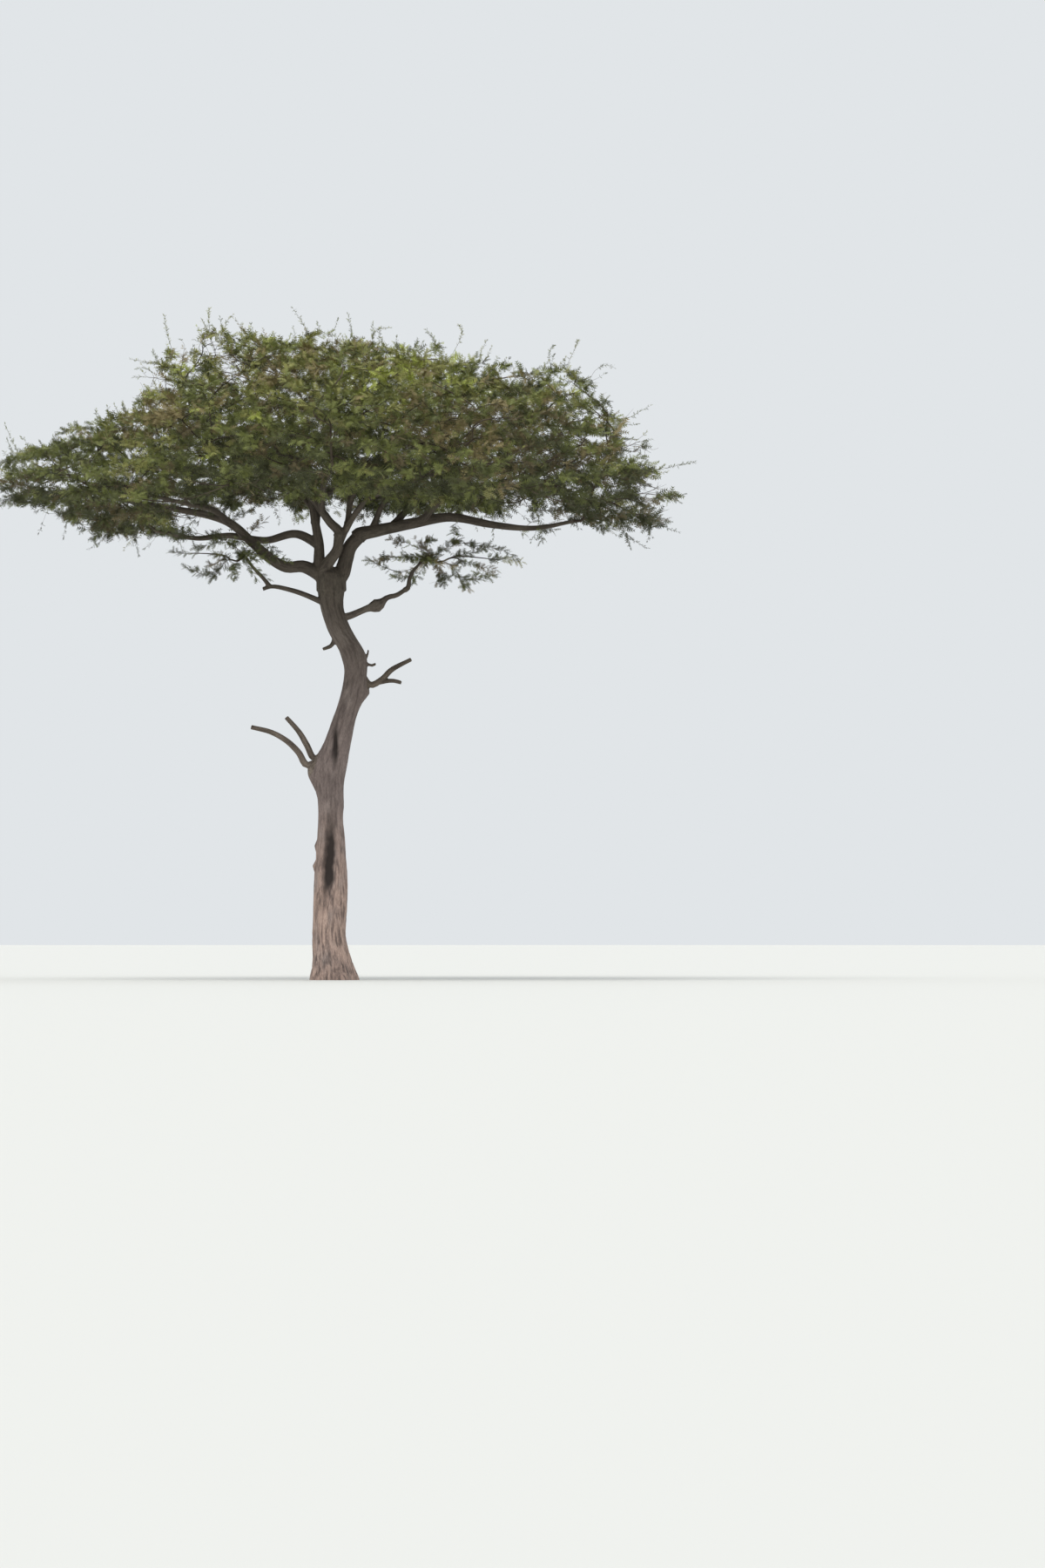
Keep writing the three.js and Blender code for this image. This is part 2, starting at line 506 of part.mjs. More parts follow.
// A mass of foliage as it grows: its wood, its sprays, and the joints where more twigs can start.
class Growth {
  constructor(mass, inSpace, random) {
    Object.assign(this, { mass, inSpace, random });
    const { curve, radii } = limbs[mass.on];
    const heading = curve.getTangentAt(1);
    this.foot = curve.getPointAt(1).addScaledVector(heading, CLEARANCE);
    const bend = this.foot.clone().lerp(mass.middle, 0.6);
    const way = new THREE.CatmullRomCurve3(
      [this.foot, this.foot.clone().addScaledVector(heading, STEM.leadIn), bend, mass.middle]);
    this.wood = solidOf(limbGeometry(
      { curve: way, radii: [radii[1], STEM.tipRadius / girth], sides: 5, steps: 2 }));
    this.sprays = [];
    this.joints = STEM.jointShares.map((share) => {
      const point = way.getPointAt(share);
      return { point, wayBack: point.distanceTo(this.foot), radius: TWIG.footRadius };
    });
  }

  // The solid of a geometry that stays in the mass's space and touches no limb and none of the others.
  clearSolid(geometry, others, rise = 0) {
    if (!cornersOf(geometry).every((corner) => this.inSpace(this.mass, corner, rise))) return null;
    const solid = solidOf(geometry);
    return [taken, ...others].every((other) => other.intersect(solid).isEmpty()) ? solid : null;
  }

  // A twig towards a target, with its sprays, from the nearest joint that leaves it clear.
  addTwig(target) {
    const cost = (joint) => joint.point.distanceTo(target) + TWIG.wayBackWeight * joint.wayBack;
    this.joints.sort((a, b) => cost(a) - cost(b));
    for (const joint of this.joints.slice(0, TWIG.tries)) {
      const end = target.clone().lerp(joint.point, TWIG.short);
      const geometry = twigGeometry(joint.point, end, joint.radius, TWIG.tipRadius);
      const twig = this.clearSolid(geometry, this.sprays);
      if (!twig) continue;
      this.addSprays(joint.point, end, target);
      this.wood = this.wood.add(twig);
      for (const share of TWIG.jointShares) {
        const wayBack = joint.wayBack + share * end.distanceTo(joint.point);
        this.joints.push({ point: joint.point.clone().lerp(end, share), wayBack, radius: TWIG.tipRadius });
      }
      return;
    }
  }

  // The sprays of a twig: one on its end that reaches the target, and the fan along it.
  addSprays(start, end, target) {
    const line = end.clone().sub(start);
    const root = end.clone().addScaledVector(line.clone().normalize(), -TWIG.tipRadius / 2);
    const ahead = target.clone().sub(root);
    const last = this.clearSolid(
      sprayGeometry(root, ahead.clone().normalize(), LEANING, spraySize(ahead.length())), this.sprays);
    if (last) this.sprays.push(last);
    for (const slot of last ? FAN.slice(1) : FAN) {
      const spray = this.turnedSpray(start.clone().lerp(end, slot.share), line, slot);
      if (spray) this.sprays.push(spray);
    }
  }

  // The first spray that is clear from a root on a twig: full size before smaller, and turned on each time.
  turnedSpray(root, line, slot) {
    const ahead = line.clone().setZ(line.z * 0.5).normalize();
    const start = slot.turn + SPRAY.jitter * (this.random() - 0.5);
    const roll = THREE.MathUtils.degToRad(SPRAY.roll * (2 * this.random() - 1));
    for (const size of SPRAY.sizes) {
      for (const turn of SPRAY.turns) {
        const swing = THREE.MathUtils.degToRad(start + turn * Math.sign(start));
        const heading = ahead.clone().applyAxisAngle(UP, swing).addScaledVector(UP, slot.lift).normalize();
        const face = UP.clone().applyAxisAngle(heading, roll);
        const length = SPRAY.length * size * this.mass.scale;
        const solid = this.clearSolid(
          sprayGeometry(root, heading, face, spraySize(length)), [this.wood, ...this.sprays]);
        if (solid) return solid;
      }
    }
    return null;
  }

  // The shortest clear shoot from a joint to the end that goes with it.
  addWisp({ end }) {
    const ways = this.joints.map(({ point }) => {
      const way = at(end(point.clone().divide(stretch).toArray())).sub(point);
      return { point, heading: way.clone().normalize(), length: way.length() };
    });
    for (const { point, heading, length } of ways.sort((a, b) => a.length - b.length)) {
      const geometry = sprayGeometry(point, heading, FRONT, { ...WISP, length });
      const solid = this.clearSolid(geometry, this.sprays, WISP.rise);
      if (solid) {
        this.sprays.push(solid);
        return;
      }
    }
  }

  grow() {
    twigTargets(this.mass, this.inSpace, this.foot).forEach((target) => this.addTwig(target));
    WISPS.filter(({ on }) => on.test(this.mass.name)).forEach((wisp) => this.addWisp(wisp));
    return largestOf(wasm.Manifold.union([this.wood, ...this.sprays]).subtract(taken));
  }
}

[...masses, ...lowMasses].forEach((mass, index) => {
  const inSpace = lowMasses.includes(mass) ? inBox : inCell;
  addNode(`foliage_${mass.name}`, new Growth(mass, inSpace, seeded(index + 1)).grow(), FINISH.leaf);
});

export default tree;
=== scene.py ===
"""A flat-topped acacia of the savanna: bark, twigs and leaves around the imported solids.

Lengths are metres, +Z is up, +X runs to the right of the front view and +Y away from the viewer.
"""

import json
import math

import bmesh
import bpy
import numpy as np
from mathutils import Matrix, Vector, noise
from numpy.linalg import norm

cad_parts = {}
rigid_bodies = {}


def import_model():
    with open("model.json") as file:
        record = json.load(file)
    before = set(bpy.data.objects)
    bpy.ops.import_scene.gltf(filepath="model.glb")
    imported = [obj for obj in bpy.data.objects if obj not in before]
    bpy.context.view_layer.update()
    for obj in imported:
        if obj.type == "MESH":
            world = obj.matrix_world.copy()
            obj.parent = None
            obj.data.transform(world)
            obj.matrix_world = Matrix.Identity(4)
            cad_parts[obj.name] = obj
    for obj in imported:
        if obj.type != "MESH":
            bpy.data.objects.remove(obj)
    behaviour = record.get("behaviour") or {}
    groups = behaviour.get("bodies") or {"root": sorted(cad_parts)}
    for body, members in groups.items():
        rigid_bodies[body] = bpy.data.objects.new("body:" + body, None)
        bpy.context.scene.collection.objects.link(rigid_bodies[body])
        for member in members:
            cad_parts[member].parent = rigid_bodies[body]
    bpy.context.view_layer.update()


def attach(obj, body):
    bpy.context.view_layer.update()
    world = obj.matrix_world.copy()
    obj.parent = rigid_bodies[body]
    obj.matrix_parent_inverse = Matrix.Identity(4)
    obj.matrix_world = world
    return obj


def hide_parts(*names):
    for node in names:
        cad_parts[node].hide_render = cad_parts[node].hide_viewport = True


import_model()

# Driving dimensions
CROWN_WIDTH = 10.3
CROWN_DEPTH = 9.0
SEED = 11
UP = np.array([0.0, 0.0, 1.0])

# The trunk from the ground to its fork: height, sideways and depth offset of its middle, and radius.
TRUNK_STATIONS = [
    (0, 0.02, 0, 0.33), (0.3, -0.01, 0.01, 0.285), (0.65, -0.045, 0.02, 0.25), (1.3, -0.025, 0.03, 0.255),
    (1.9, -0.02, 0.03, 0.222), (2.5, -0.025, 0.02, 0.187), (2.95, -0.02, 0, 0.2), (3.3, 0.03, -0.02, 0.215),
    (3.75, 0.14, -0.04, 0.183), (4.2, 0.28, -0.05, 0.172), (4.6, 0.352, -0.04, 0.172),
    (4.85, 0.315, -0.02, 0.19), (5.2, 0.12, 0.01, 0.182), (5.55, 0, 0.02, 0.172), (5.85, -0.02, 0.02, 0.205),
    (6, -0.015, 0.01, 0.222),
]
# Swellings and hollows of the trunk: angle round it from +X in degrees, height, reach, width and tallness.
TRUNK_BUMPS = [
    (180, 3.12, 0.16, 38, 0.24),  # collar of the dead limbs on the left
    (0, 4.28, 0.09, 34, 0.12),  # collar of the dead limb on the right
    (262, 1.75, -0.06, 20, 0.6),  # long hollow in front
    (262, 3.48, -0.04, 18, 0.22),  # slit above the left collar
    (182, 1.7, 0.05, 9, 0.035),  # knobs on the left
    (184, 2.0, 0.035, 10, 0.05),
    (20, 2.6, 0.02, 24, 0.12),
    (330, 1.0, 0.025, 26, 0.3),
]
FLARE = {"reach": 0.085, "height": 0.2, "lobes": 5, "turn": math.radians(30)}
LEAD_IN = 0.06  # straight stretch where a limb goes on from its parent's tip

# Stems and bare limbs: what they grow from and where, the radii at foot and tip, and the points of the path.
LIMBS = {
    "left_stem": ("trunk", 0.965, 0.105, 0.046, [
        (-0.17, -0.01, 6.1), (-0.2, -0.03, 6.5), (-0.25, -0.01, 6.8), (-0.32, 0.03, 7.2), (-0.4, 0.06, 7.6)]),
    "right_leader": ("trunk", 0.965, 0.11, 0.103, [
        (0.13, 0.03, 6.05), (0.2, 0.04, 6.27), (0.26, 0.03, 6.45), (0.38, 0.01, 6.6)]),
    "centre_limb": ("left_stem", 0.13, 0.088, 0.072, [
        (-0.02, -0.13, 6.27), (0.08, -0.17, 6.42), (0.1, -0.16, 6.62)]),
    "slant_stem": ("centre_limb", 1, 0.068, 0.045, [
        (-0.03, -0.19, 6.82), (-0.2, -0.24, 7.06), (-0.36, -0.27, 7.35), (-0.46, -0.28, 7.6)]),
    "upright_stem": ("centre_limb", 0.75, 0.052, 0.036, [
        (0.22, -0.1, 6.78), (0.25, -0.06, 7), (0.26, -0.03, 7.3), (0.3, 0, 7.65)]),
    "low_left_branch": ("trunk", 0.87, 0.047, 0.03, [
        (-0.4, -0.1, 5.74), (-0.62, -0.16, 5.81), (-0.9, -0.22, 5.86), (-1.03, -0.24, 5.82)]),
    "low_left_riser": ("low_left_branch", 0.9, 0.031, 0.022, [
        (-1.02, -0.26, 5.98), (-1.12, -0.3, 6.08), (-1.22, -0.34, 6.2)]),
    "low_right_branch": ("trunk", 0.835, 0.058, 0.034, [
        (0.26, -0.04, 5.43), (0.5, -0.06, 5.53), (0.7, -0.08, 5.6), (0.82, -0.09, 5.7),
        (0.96, -0.1, 5.735), (1.08, -0.11, 5.81)]),
    "low_right_riser": ("low_right_branch", 1, 0.035, 0.022, [
        (1.15, -0.12, 5.96), (1.2, -0.12, 6.08), (1.3, -0.12, 6.2)]),
    "dead_left_long": ("trunk", 0.5, 0.056, 0.03, [
        (-0.37, -0.03, 3.2), (-0.5, -0.04, 3.39), (-0.66, -0.05, 3.55), (-0.9, -0.06, 3.69),
        (-1.21, -0.07, 3.77)]),
    "dead_left_short": ("trunk", 0.52, 0.058, 0.03, [
        (-0.26, 0.04, 3.3), (-0.38, 0.06, 3.5), (-0.49, 0.08, 3.69), (-0.69, 0.1, 3.92)]),
    "dead_right": ("trunk", 0.725, 0.058, 0.027, [
        (0.56, -0.04, 4.4), (0.74, -0.05, 4.48), (0.88, -0.06, 4.62), (1.18, -0.08, 4.78)]),
    "dead_right_prong": ("dead_right", 0.5, 0.03, 0.025, [(0.9, -0.1, 4.46), (1.03, -0.13, 4.43)]),
    "stub_left": ("trunk", 0.83, 0.045, 0.022, [(0, -0.03, 5.0), (-0.14, -0.05, 4.93)]),
    "stub_right": ("trunk", 0.775, 0.032, 0.018, [(0.56, -0.05, 4.69), (0.65, -0.06, 4.71)]),
    "spur_right": ("trunk", 0.79, 0.03, 0.012, [(0.5, -0.04, 4.8), (0.54, -0.05, 4.92)]),
}
DEAD = [name for name in LIMBS if name.startswith(("dead", "stub", "spur"))]
TAPER = {"left_stem": 0.6}
KNOT = {"low_right_branch": (0.58, 0.06, 0.08)}  # share of the length, reach, and width as a share

# The crown's outline in the front view: sideways place and height of its top, and of its underside.
CROWN_TOP = [
    (-5.1, 7.6), (-4.6, 7.95), (-3.5, 8.45), (-2.8, 8.65), (-2.55, 9.35), (-1.7, 9.75), (0, 9.62), (1.6, 9.5),
    (2.1, 9.3), (3.8, 9.1), (4.2, 8.65), (4.6, 8.4), (5.2, 7.55),
]
CROWN_FOOT = [
    (-5.1, 7.1), (-4, 6.92), (-3.6, 6.56), (-2.3, 6.6), (-2, 6.97), (0, 7), (2, 6.92), (3.3, 6.97),
    (3.6, 6.68), (5, 6.63), (5.2, 7),
]
CROWN_SHIFT = 0.05
CROWN_RIM = 0.35
CROWN_SQUARENESS = 2.4

# How far out the middles of the masses and the boughs' tips lie, and how high the tips lie in the crown.
RINGS = {"outer": (0.79, 0.58, 0.2), "inner": (0.38, 0.27, 0.3)}
# The boughs: ring, angle, what they grow from and where, radii at foot and tip, and the rise or the path.
BOUGHS = {
    "right": ("outer", 0, "right_leader", 1, 0.101, 0.026, [
        (0.66, -0.01, 6.7), (1.2, -0.04, 6.81), (1.75, -0.02, 6.9), (2.4, 0.02, 6.79), (3, 0.03, 6.74),
        (3.6, 0, 6.84)]),
    "right_back": ("outer", 30, "bough_right", 0.16, 0.058, 0.026, 0.24),
    "back_right": ("outer", 60, "upright_stem", 0.3, 0.046, 0.024, 0.22),
    "back": ("outer", 90, "left_stem", 0.55, 0.058, 0.026, 0.2),
    "back_left": ("outer", 120, "left_stem", 0.68, 0.05, 0.026, 0.16),
    "left_back": ("outer", 152, "left_stem", 0.36, 0.07, 0.028, [
        (-0.55, 0.14, 6.66), (-1, 0.3, 6.57), (-1.55, 0.5, 6.65), (-2.05, 0.75, 6.62), (-2.55, 1.1, 6.72)]),
    "left": ("outer", 180, "left_stem", 0.05, 0.098, 0.028, [
        (-0.43, -0.04, 6.165), (-0.68, -0.07, 6.155), (-0.92, -0.1, 6.28), (-1.17, -0.13, 6.5),
        (-1.55, -0.18, 6.82), (-2.35, -0.2, 7.02), (-3.2, -0.1, 7.16)]),
    "left_front": ("outer", 210, "bough_left", 0.5, 0.05, 0.026, 0.1),
    "front_left": ("outer", 240, "slant_stem", 0.55, 0.05, 0.026, 0.16),
    "front": ("outer", 270, "slant_stem", 0.42, 0.052, 0.026, 0.22),
    "front_right": ("outer", 300, "upright_stem", 0.22, 0.044, 0.024, 0.24),
    "right_front": ("outer", 330, "bough_right", 0.3, 0.055, 0.026, 0.16),
    "inner_right": ("inner", 5, "bough_right", 0.07, 0.05, 0.026, 0.2),
    "inner_back_right": ("inner", 62, "upright_stem", 0.62, 0.036, 0.022, 0.12),
    "inner_back_left": ("inner", 120, "left_stem", 0.84, 0.042, 0.024, 0.12),
    "inner_left": ("inner", 180, "left_stem", 1, 0.048, 0.026, 0.1),
    "inner_front_left": ("inner", 236, "slant_stem", 1, 0.043, 0.024, 0.1),
    "inner_front_right": ("inner", 300, "upright_stem", 0.5, 0.036, 0.022, 0.12),
    "middle": ("inner", 0, "upright_stem", 1, 0.035, 0.024, [(0.3, 0.04, 7.8), (0.22, 0.06, 8)]),
}
MIDDLE_CENTRE = (0.05, 0, 8.7)
# Where a bough without a path of its own bends: share of the way to its tip, and share of its rise there.
BOUGH_BENDS = ((0.22, 1), (0.6, 0.55))
# The two thin masses on the low branches, each in a box of its own.
LOW_MASSES = {
    "low_left": ("low_left_riser", (-2.4, -0.95, 5.95), (-0.62, 0.1, 6.56)),
    "low_right": ("low_right_riser", (0.5, -0.7, 5.88), (2.85, 0.55, 6.62)),
}
HALF_SPACE = np.array([1.6, 1.6, 1.7])  # half the box round a mass's middle in which its points are tried
# How far out and up the thin shoots may reach.
LEAST, MOST = np.array([-5.2, -4.4, 6.2]), np.array([5.42, 4.4, 10.16])

PATH_SAMPLES = 200
NEXT_STEP = 1e-4  # how far apart two steps are from which a path's heading is read


def unit(vectors, least=0):
    """Vectors made one long. The least length keeps a vector of no length from a division by zero."""
    return vectors / (norm(vectors, axis=-1, keepdims=True) + least)


class Path:
    """A centripetal Catmull-Rom curve through points, read by even steps or by its length."""

    def __init__(self, points):
        self.knots = np.array(points, float)
        self.steps = np.linspace(0, 1, PATH_SAMPLES + 1)
        gaps = norm(np.diff(self.by_step(self.steps), axis=0), axis=1)
        self.reach = np.concatenate([[0], np.cumsum(gaps)])
        self.length = self.reach[-1]

    def by_step(self, shares):
        knots = self.knots
        padded = np.vstack([2 * knots[0] - knots[1], knots, 2 * knots[-1] - knots[-2]])
        place = np.clip(np.atleast_1d(shares), 0, 1) * (len(knots) - 1)
        span = np.minimum(place.astype(int), len(knots) - 2)
        t = (place - span)[:, None]
        a, b, c, d = (padded[span + i] for i in range(4))
        ab, bc, cd = (np.sqrt(norm(q - p, axis=1))[:, None] for p, q in ((a, b), (b, c), (c, d)))
        leaving = ((b - a) / ab - (c - a) / (ab + bc) + (c - b) / bc) * bc
        arriving = ((c - b) / bc - (d - b) / (bc + cd) + (d - c) / cd) * bc
        square = -3 * b + 3 * c - 2 * leaving - arriving
        cube = 2 * b - 2 * c + leaving + arriving
        return b + leaving * t + square * t**2 + cube * t**3

    def step_at(self, shares):
        return np.interp(np.atleast_1d(shares) * self.length, self.reach, self.steps)

    def at(self, shares):
        return self.by_step(self.step_at(shares))

    def heading(self, shares):
        step = self.step_at(shares)
        return unit(self.by_step(step + NEXT_STEP) - self.by_step(step - NEXT_STEP))


def outline_at(outline, x):
    return np.interp(x, [place for place, _ in outline], [height for _, height in outline])


def crown_at(x, y):
    """Heights of the crown's top and underside over a place."""
    across = (x - CROWN_SHIFT) / (CROWN_WIDTH / 2)
    deepest = CROWN_DEPTH / 2 * np.sqrt(np.maximum(1 - across**2, 1e-6))
    full = np.sqrt(np.maximum(1 - np.abs(y / deepest) ** CROWN_SQUARENESS, 0))
    rim = outline_at(CROWN_FOOT, x) + CROWN_RIM
    return rim + full * (outline_at(CROWN_TOP, x) - rim), rim - full * CROWN_RIM


def ring_place(share, degrees):
    angle = math.radians(degrees)
    across = CROWN_SHIFT + share * CROWN_WIDTH * math.cos(angle) / 2
    return across, share * CROWN_DEPTH * math.sin(angle) / 2


trunk_path = Path([(x, y, z) for z, x, y, _ in TRUNK_STATIONS])
trunk_radii = Path([(radius, 0, z) for z, _, _, radius in TRUNK_STATIONS])
limbs = {"trunk": {"path": trunk_path}}


def add_limb(name, parent, share, foot_radius, tip_radius, points):
    """Keeps a limb's path from its foot in its parent, or from its parent's tip, with its radii."""
    path = limbs[parent]["path"]
    foot = (path.by_step(share) if parent == "trunk" else path.at(share))[0]
    if share == 1:
        points = [foot + LEAD_IN * path.heading(1)[0], *points]
    limbs[name] = {"path": Path([foot, *points]), "radii": (foot_radius, tip_radius), "parent": parent}


def radius_along(name, shares):
    """A limb's radius at shares of its length."""
    if name == "trunk":
        return trunk_radii.by_step(shares)[:, 0]
    foot, tip = limbs[name]["radii"]
    radius = foot + (tip - foot) * np.asarray(shares) ** TAPER.get(name, 1)
    if name in KNOT:
        share, reach, wide = KNOT[name]
        radius = radius + reach * np.exp(-(((shares - share) / wide) ** 2))
    return radius


for name, (parent, share, foot, tip, points) in LIMBS.items():
    add_limb(name, parent, share, foot, tip, points)

masses = {}
for name, (ring, angle, parent, share, foot_radius, tip_radius, way) in BOUGHS.items():
    middle_share, tip_share, tip_rise = RINGS[ring]
    if not isinstance(way, list):
        x, y = ring_place(tip_share, angle)
        top, foot = crown_at(x, y)
        tip = np.array([x, y, foot + tip_rise * (top - foot)])
        start = limbs[parent]["path"].at(share)[0]
        way = [*(start + along * (tip - start) + risen * way * UP for along, risen in BOUGH_BENDS), tip]
    add_limb(f"bough_{name}", parent, share, foot_radius, tip_radius, way)
    x, y = ring_place(middle_share, angle)
    middle = np.array([x, y, sum(crown_at(x, y)) / 2]) if name != "middle" else np.array(MIDDLE_CENTRE)
    low, high = middle - HALF_SPACE, middle + HALF_SPACE
    masses[name] = {"on": f"bough_{name}", "middle": middle, "low": low, "high": high}
for name, (on, low, high) in LOW_MASSES.items():
    low, high = np.array(low), np.array(high)
    masses[name] = {"on": on, "middle": (low + high) / 2, "low": low, "high": high}
cell_middles = np.array([mass["middle"] for name, mass in masses.items() if name not in LOW_MASSES])

# Bark: one shell over the trunk and all the limbs
SHELL_VOXEL = 0.0115
SHELL_SEAM = 5.6  # height of the cut between the trunk's piece and the boughs' piece
# How much thicker a limb's foot is, and over which length.
COLLAR = (0.3, 0.1)
WIDE_COLLARS = {
    "left_stem": (0.45, 0.22), "right_leader": (0.4, 0.24), "bough_left": (0.4, 0.16),
    "centre_limb": (0.4, 0.14)}
# The trunk's rounded top between its stems: height over the fork, how far down it starts, and its narrowest
# share of the radius.
DOME = (0.17, 0.2, 0.02)
DOME_STEPS = 8
FOOT_BELOW = 0.06  # the shell starts below the ground, where it is cut flat
TRUNK_SIDES = 40
TRUNK_RINGS = 90
LIMB_SIDES = 16
RING_GAP = 0.06
AXIS_STEP = 0.025
FIRST_SIDE = (0.31, 0.95, 0.05)  # a way that no limb sets out along, from which its side axis starts
# Columns of a sample of a limb's axis, after its point and its three axes.
RADIUS, ALONG, LIMB = 12, 13, 14
LIMB_SHIFT = 20.0  # keeps the bark's pattern on one limb unlike that on the next
CHUNK = 4000
SOFTENING = (0.6, -0.62) * 5  # turns about, so that thin limbs keep their thickness
DEAD_THICKER = 1.12  # makes up for what the softening takes from the thin dead limbs
WARP, WARP_SCALE = 0.03, (9, 9, 3)
# Fissures of the bark: the noise's scale, how many times it is warped, its shift, their width and depth.
FISSURES = (((15, 15, 2.4), 1, 0, 0.07, 1), ((34, 34, 6), 1, 5, 0.08, 0.4), ((11, 11, 13), 2, 9, 0.04, 0.2))
DEEPEST_FISSURE = 1.1
# How rough the bark is: above, how much more at the foot, where that starts, and over what height it grows.
ROUGHNESS = (0.3, 0.3, 2.6, 2)
# Relief of the thinnest limb, and how much more the thickest has: of lumps and of fissures.
LUMPS, LUMP_SCALE = (0.004, 0.014), (6, 6, 3.5)
FISSURE_DEPTH = (0.0015, 0.009)
THIN_RADIUS, THICKER_BY = 0.02, 0.18
SHELL_SHARE = 0.42  # of the shell's faces kept, fewest where it is smoothest
# Grooves in the front of the trunk: points of the way (sideways, height), half width, depth and darkness,
# which is how much painted shade the groove gets.
GROOVES = [
    ([(0.01, 2.75), (-0.01, 2.35), (-0.03, 1.9), (-0.06, 1.5), (-0.11, 1.2), (-0.18, 0.85)], 0.078, 0.045, 1),
    ([(0.06, 3.95), (0.05, 3.5), (0.04, 3.05)], 0.042, 0.035, 1),
    ([(0.02, 3.2), (0.0, 2.8), (0.0, 2.45)], 0.05, 0.01, 0.25),
]
GROOVE_END = 0.35  # share of its height over which a groove fades in and out
# How a groove wanders and swells, as shares of its half width, with the noise's scales.
GROOVE_WANDER = ((0.7, (0, 0, 3.1)), (0.5, (3, 0, 11)))
GROOVE_SWELL = (0.9, (0, 0, 4.5))
FRONT = 0.05  # grooves reach no further back than this


def placed(name, data):
    """An object of this data, in the scene."""
    made = bpy.data.objects.new(name, data)
    bpy.context.scene.collection.objects.link(made)
    return made


def mesh_of(bm, name):
    """The mesh that a bmesh holds, which is freed."""
    mesh = bpy.data.meshes.new(name)
    bm.to_mesh(mesh)
    bm.free()
    return mesh


def circle(turns):
    """Points of a level circle of radius 1."""
    return np.column_stack([np.cos(turns), np.sin(turns), np.zeros_like(turns)])


def trunk_relief(angle, height):
    """How far the trunk stands out beyond its round section."""
    lobe = 0.5 + 0.5 * np.cos(FLARE["lobes"] * angle - FLARE["turn"])
    relief = FLARE["reach"] * lobe * math.exp(-max(height, 0) / FLARE["height"])
    for middle, level, reach, wide, tall in TRUNK_BUMPS:
        aside = (np.mod(np.degrees(angle) - middle + 180, 360) - 180) / wide
        relief = relief + reach * np.exp(-(aside**2) - ((height - level) / tall) ** 2)
    return relief


def add_tube(joined, sides, steps, ring_at):
    """Adds a closed cylinder cut into rings, each put where ring_at says for its share and turns."""
    bm = bmesh.new()
    bmesh.ops.create_cone(bm, cap_ends=True, segments=sides, radius1=1, radius2=1, depth=1)
    upright = [edge for edge in bm.edges if abs(edge.verts[0].co.z - edge.verts[1].co.z) > 0.5]
    bmesh.ops.subdivide_edges(bm, edges=upright, cuts=steps - 1, use_grid_fill=True)
    rows = {}
    for vert in bm.verts:
        rows.setdefault(round((vert.co.z + 0.5) * steps), []).append(vert)
    for index, row in rows.items():
        turns = np.array([math.atan2(vert.co.y, vert.co.x) for vert in row])
        for vert, place in zip(row, ring_at(index / steps, turns)):
            vert.co = place
    tube = mesh_of(bm, "tube")
    joined.from_mesh(tube)
    bpy.data.meshes.remove(tube)


def carried_frames(path, shares):
    """Points along a path with a side and an up axis that turn as little as they can."""
    points, headings = path.at(shares), path.heading(shares)
    side = np.cross(headings[0], FIRST_SIDE)
    sides = []
    for heading in headings:
        side = side - heading * (side @ heading)
        side = side / norm(side)
        sides.append(side)
    sides = np.array(sides)
    return points, headings, sides, np.cross(headings, sides)


def trunk_ring(step, turns):
    middle = trunk_path.by_step(step)[0]
    reach = trunk_radii.by_step(step)[0, 0] + trunk_relief(turns, middle[2])
    if step == 0:
        middle = middle - FOOT_BELOW * UP
    return middle + reach[:, None] * circle(turns)


def dome_ring(step, turns):
    """The rounded top of the trunk, over which its stems part."""
    *middle, radius = np.array(TRUNK_STATIONS[-1])[[1, 2, 0, 3]]
    rise, sunk, narrowest = DOME
    angle = max(2 * step - 1, 0) * math.pi / 2
    height = middle[2] + rise * math.sin(angle) - sunk * max(1 - 2 * step, 0)
    reach = radius * max(math.cos(angle), narrowest)
    return np.array([middle[0], middle[1], height]) + reach * circle(turns)


def limb_ring(name):
    """Where a limb's rings lie, with the collar at its foot."""
    path = limbs[name]["path"]
    shares = np.linspace(0, 1, limb_steps(name) + 1)
    points, _, sides, ups = carried_frames(path, shares)
    thicker, over = WIDE_COLLARS.get(name, COLLAR)
    radii = radius_along(name, shares) * (1 + thicker * np.exp(-shares * path.length / over))
    radii = radii * (DEAD_THICKER if name in DEAD else 1)

    def ring_at(share, turns):
        i = round(share * (len(shares) - 1))
        return points[i] + radii[i] * (np.outer(np.cos(turns), sides[i]) + np.outer(np.sin(turns), ups[i]))

    return ring_at


def limb_steps(name):
    return max(4, round(limbs[name]["path"].length / RING_GAP))


def modified(mesh, *modifiers):
    """A copy of a mesh with modifiers applied, each given as its kind and settings."""
    thing = placed("modified", mesh)
    for kind, settings in modifiers:
        modifier = thing.modifiers.new(kind.lower(), kind)
        for key, value in settings.items():
            setattr(modifier, key, value)
    bpy.context.view_layer.update()
    graph = bpy.context.evaluated_depsgraph_get()
    made = bpy.data.meshes.new_from_object(
        thing.evaluated_get(graph), preserve_all_data_layers=True, depsgraph=graph)
    bpy.data.objects.remove(thing)
    bpy.data.meshes.remove(mesh)
    return made


def remeshed_shell():
    """All the tubes joined under one skin, with soft corners where they meet."""
    bm = bmesh.new()
    add_tube(bm, TRUNK_SIDES, TRUNK_RINGS, trunk_ring)
    add_tube(bm, TRUNK_SIDES, DOME_STEPS, dome_ring)
    for name in limbs:
        if name != "trunk":
            add_tube(bm, LIMB_SIDES, limb_steps(name), limb_ring(name))
    bmesh.ops.recalc_face_normals(bm, faces=bm.faces)
    return modified(
        mesh_of(bm, "rough"), ("REMESH", {"mode": "VOXEL", "voxel_size": SHELL_VOXEL}),
        *(("SMOOTH", {"factor": factor}) for factor in SOFTENING))


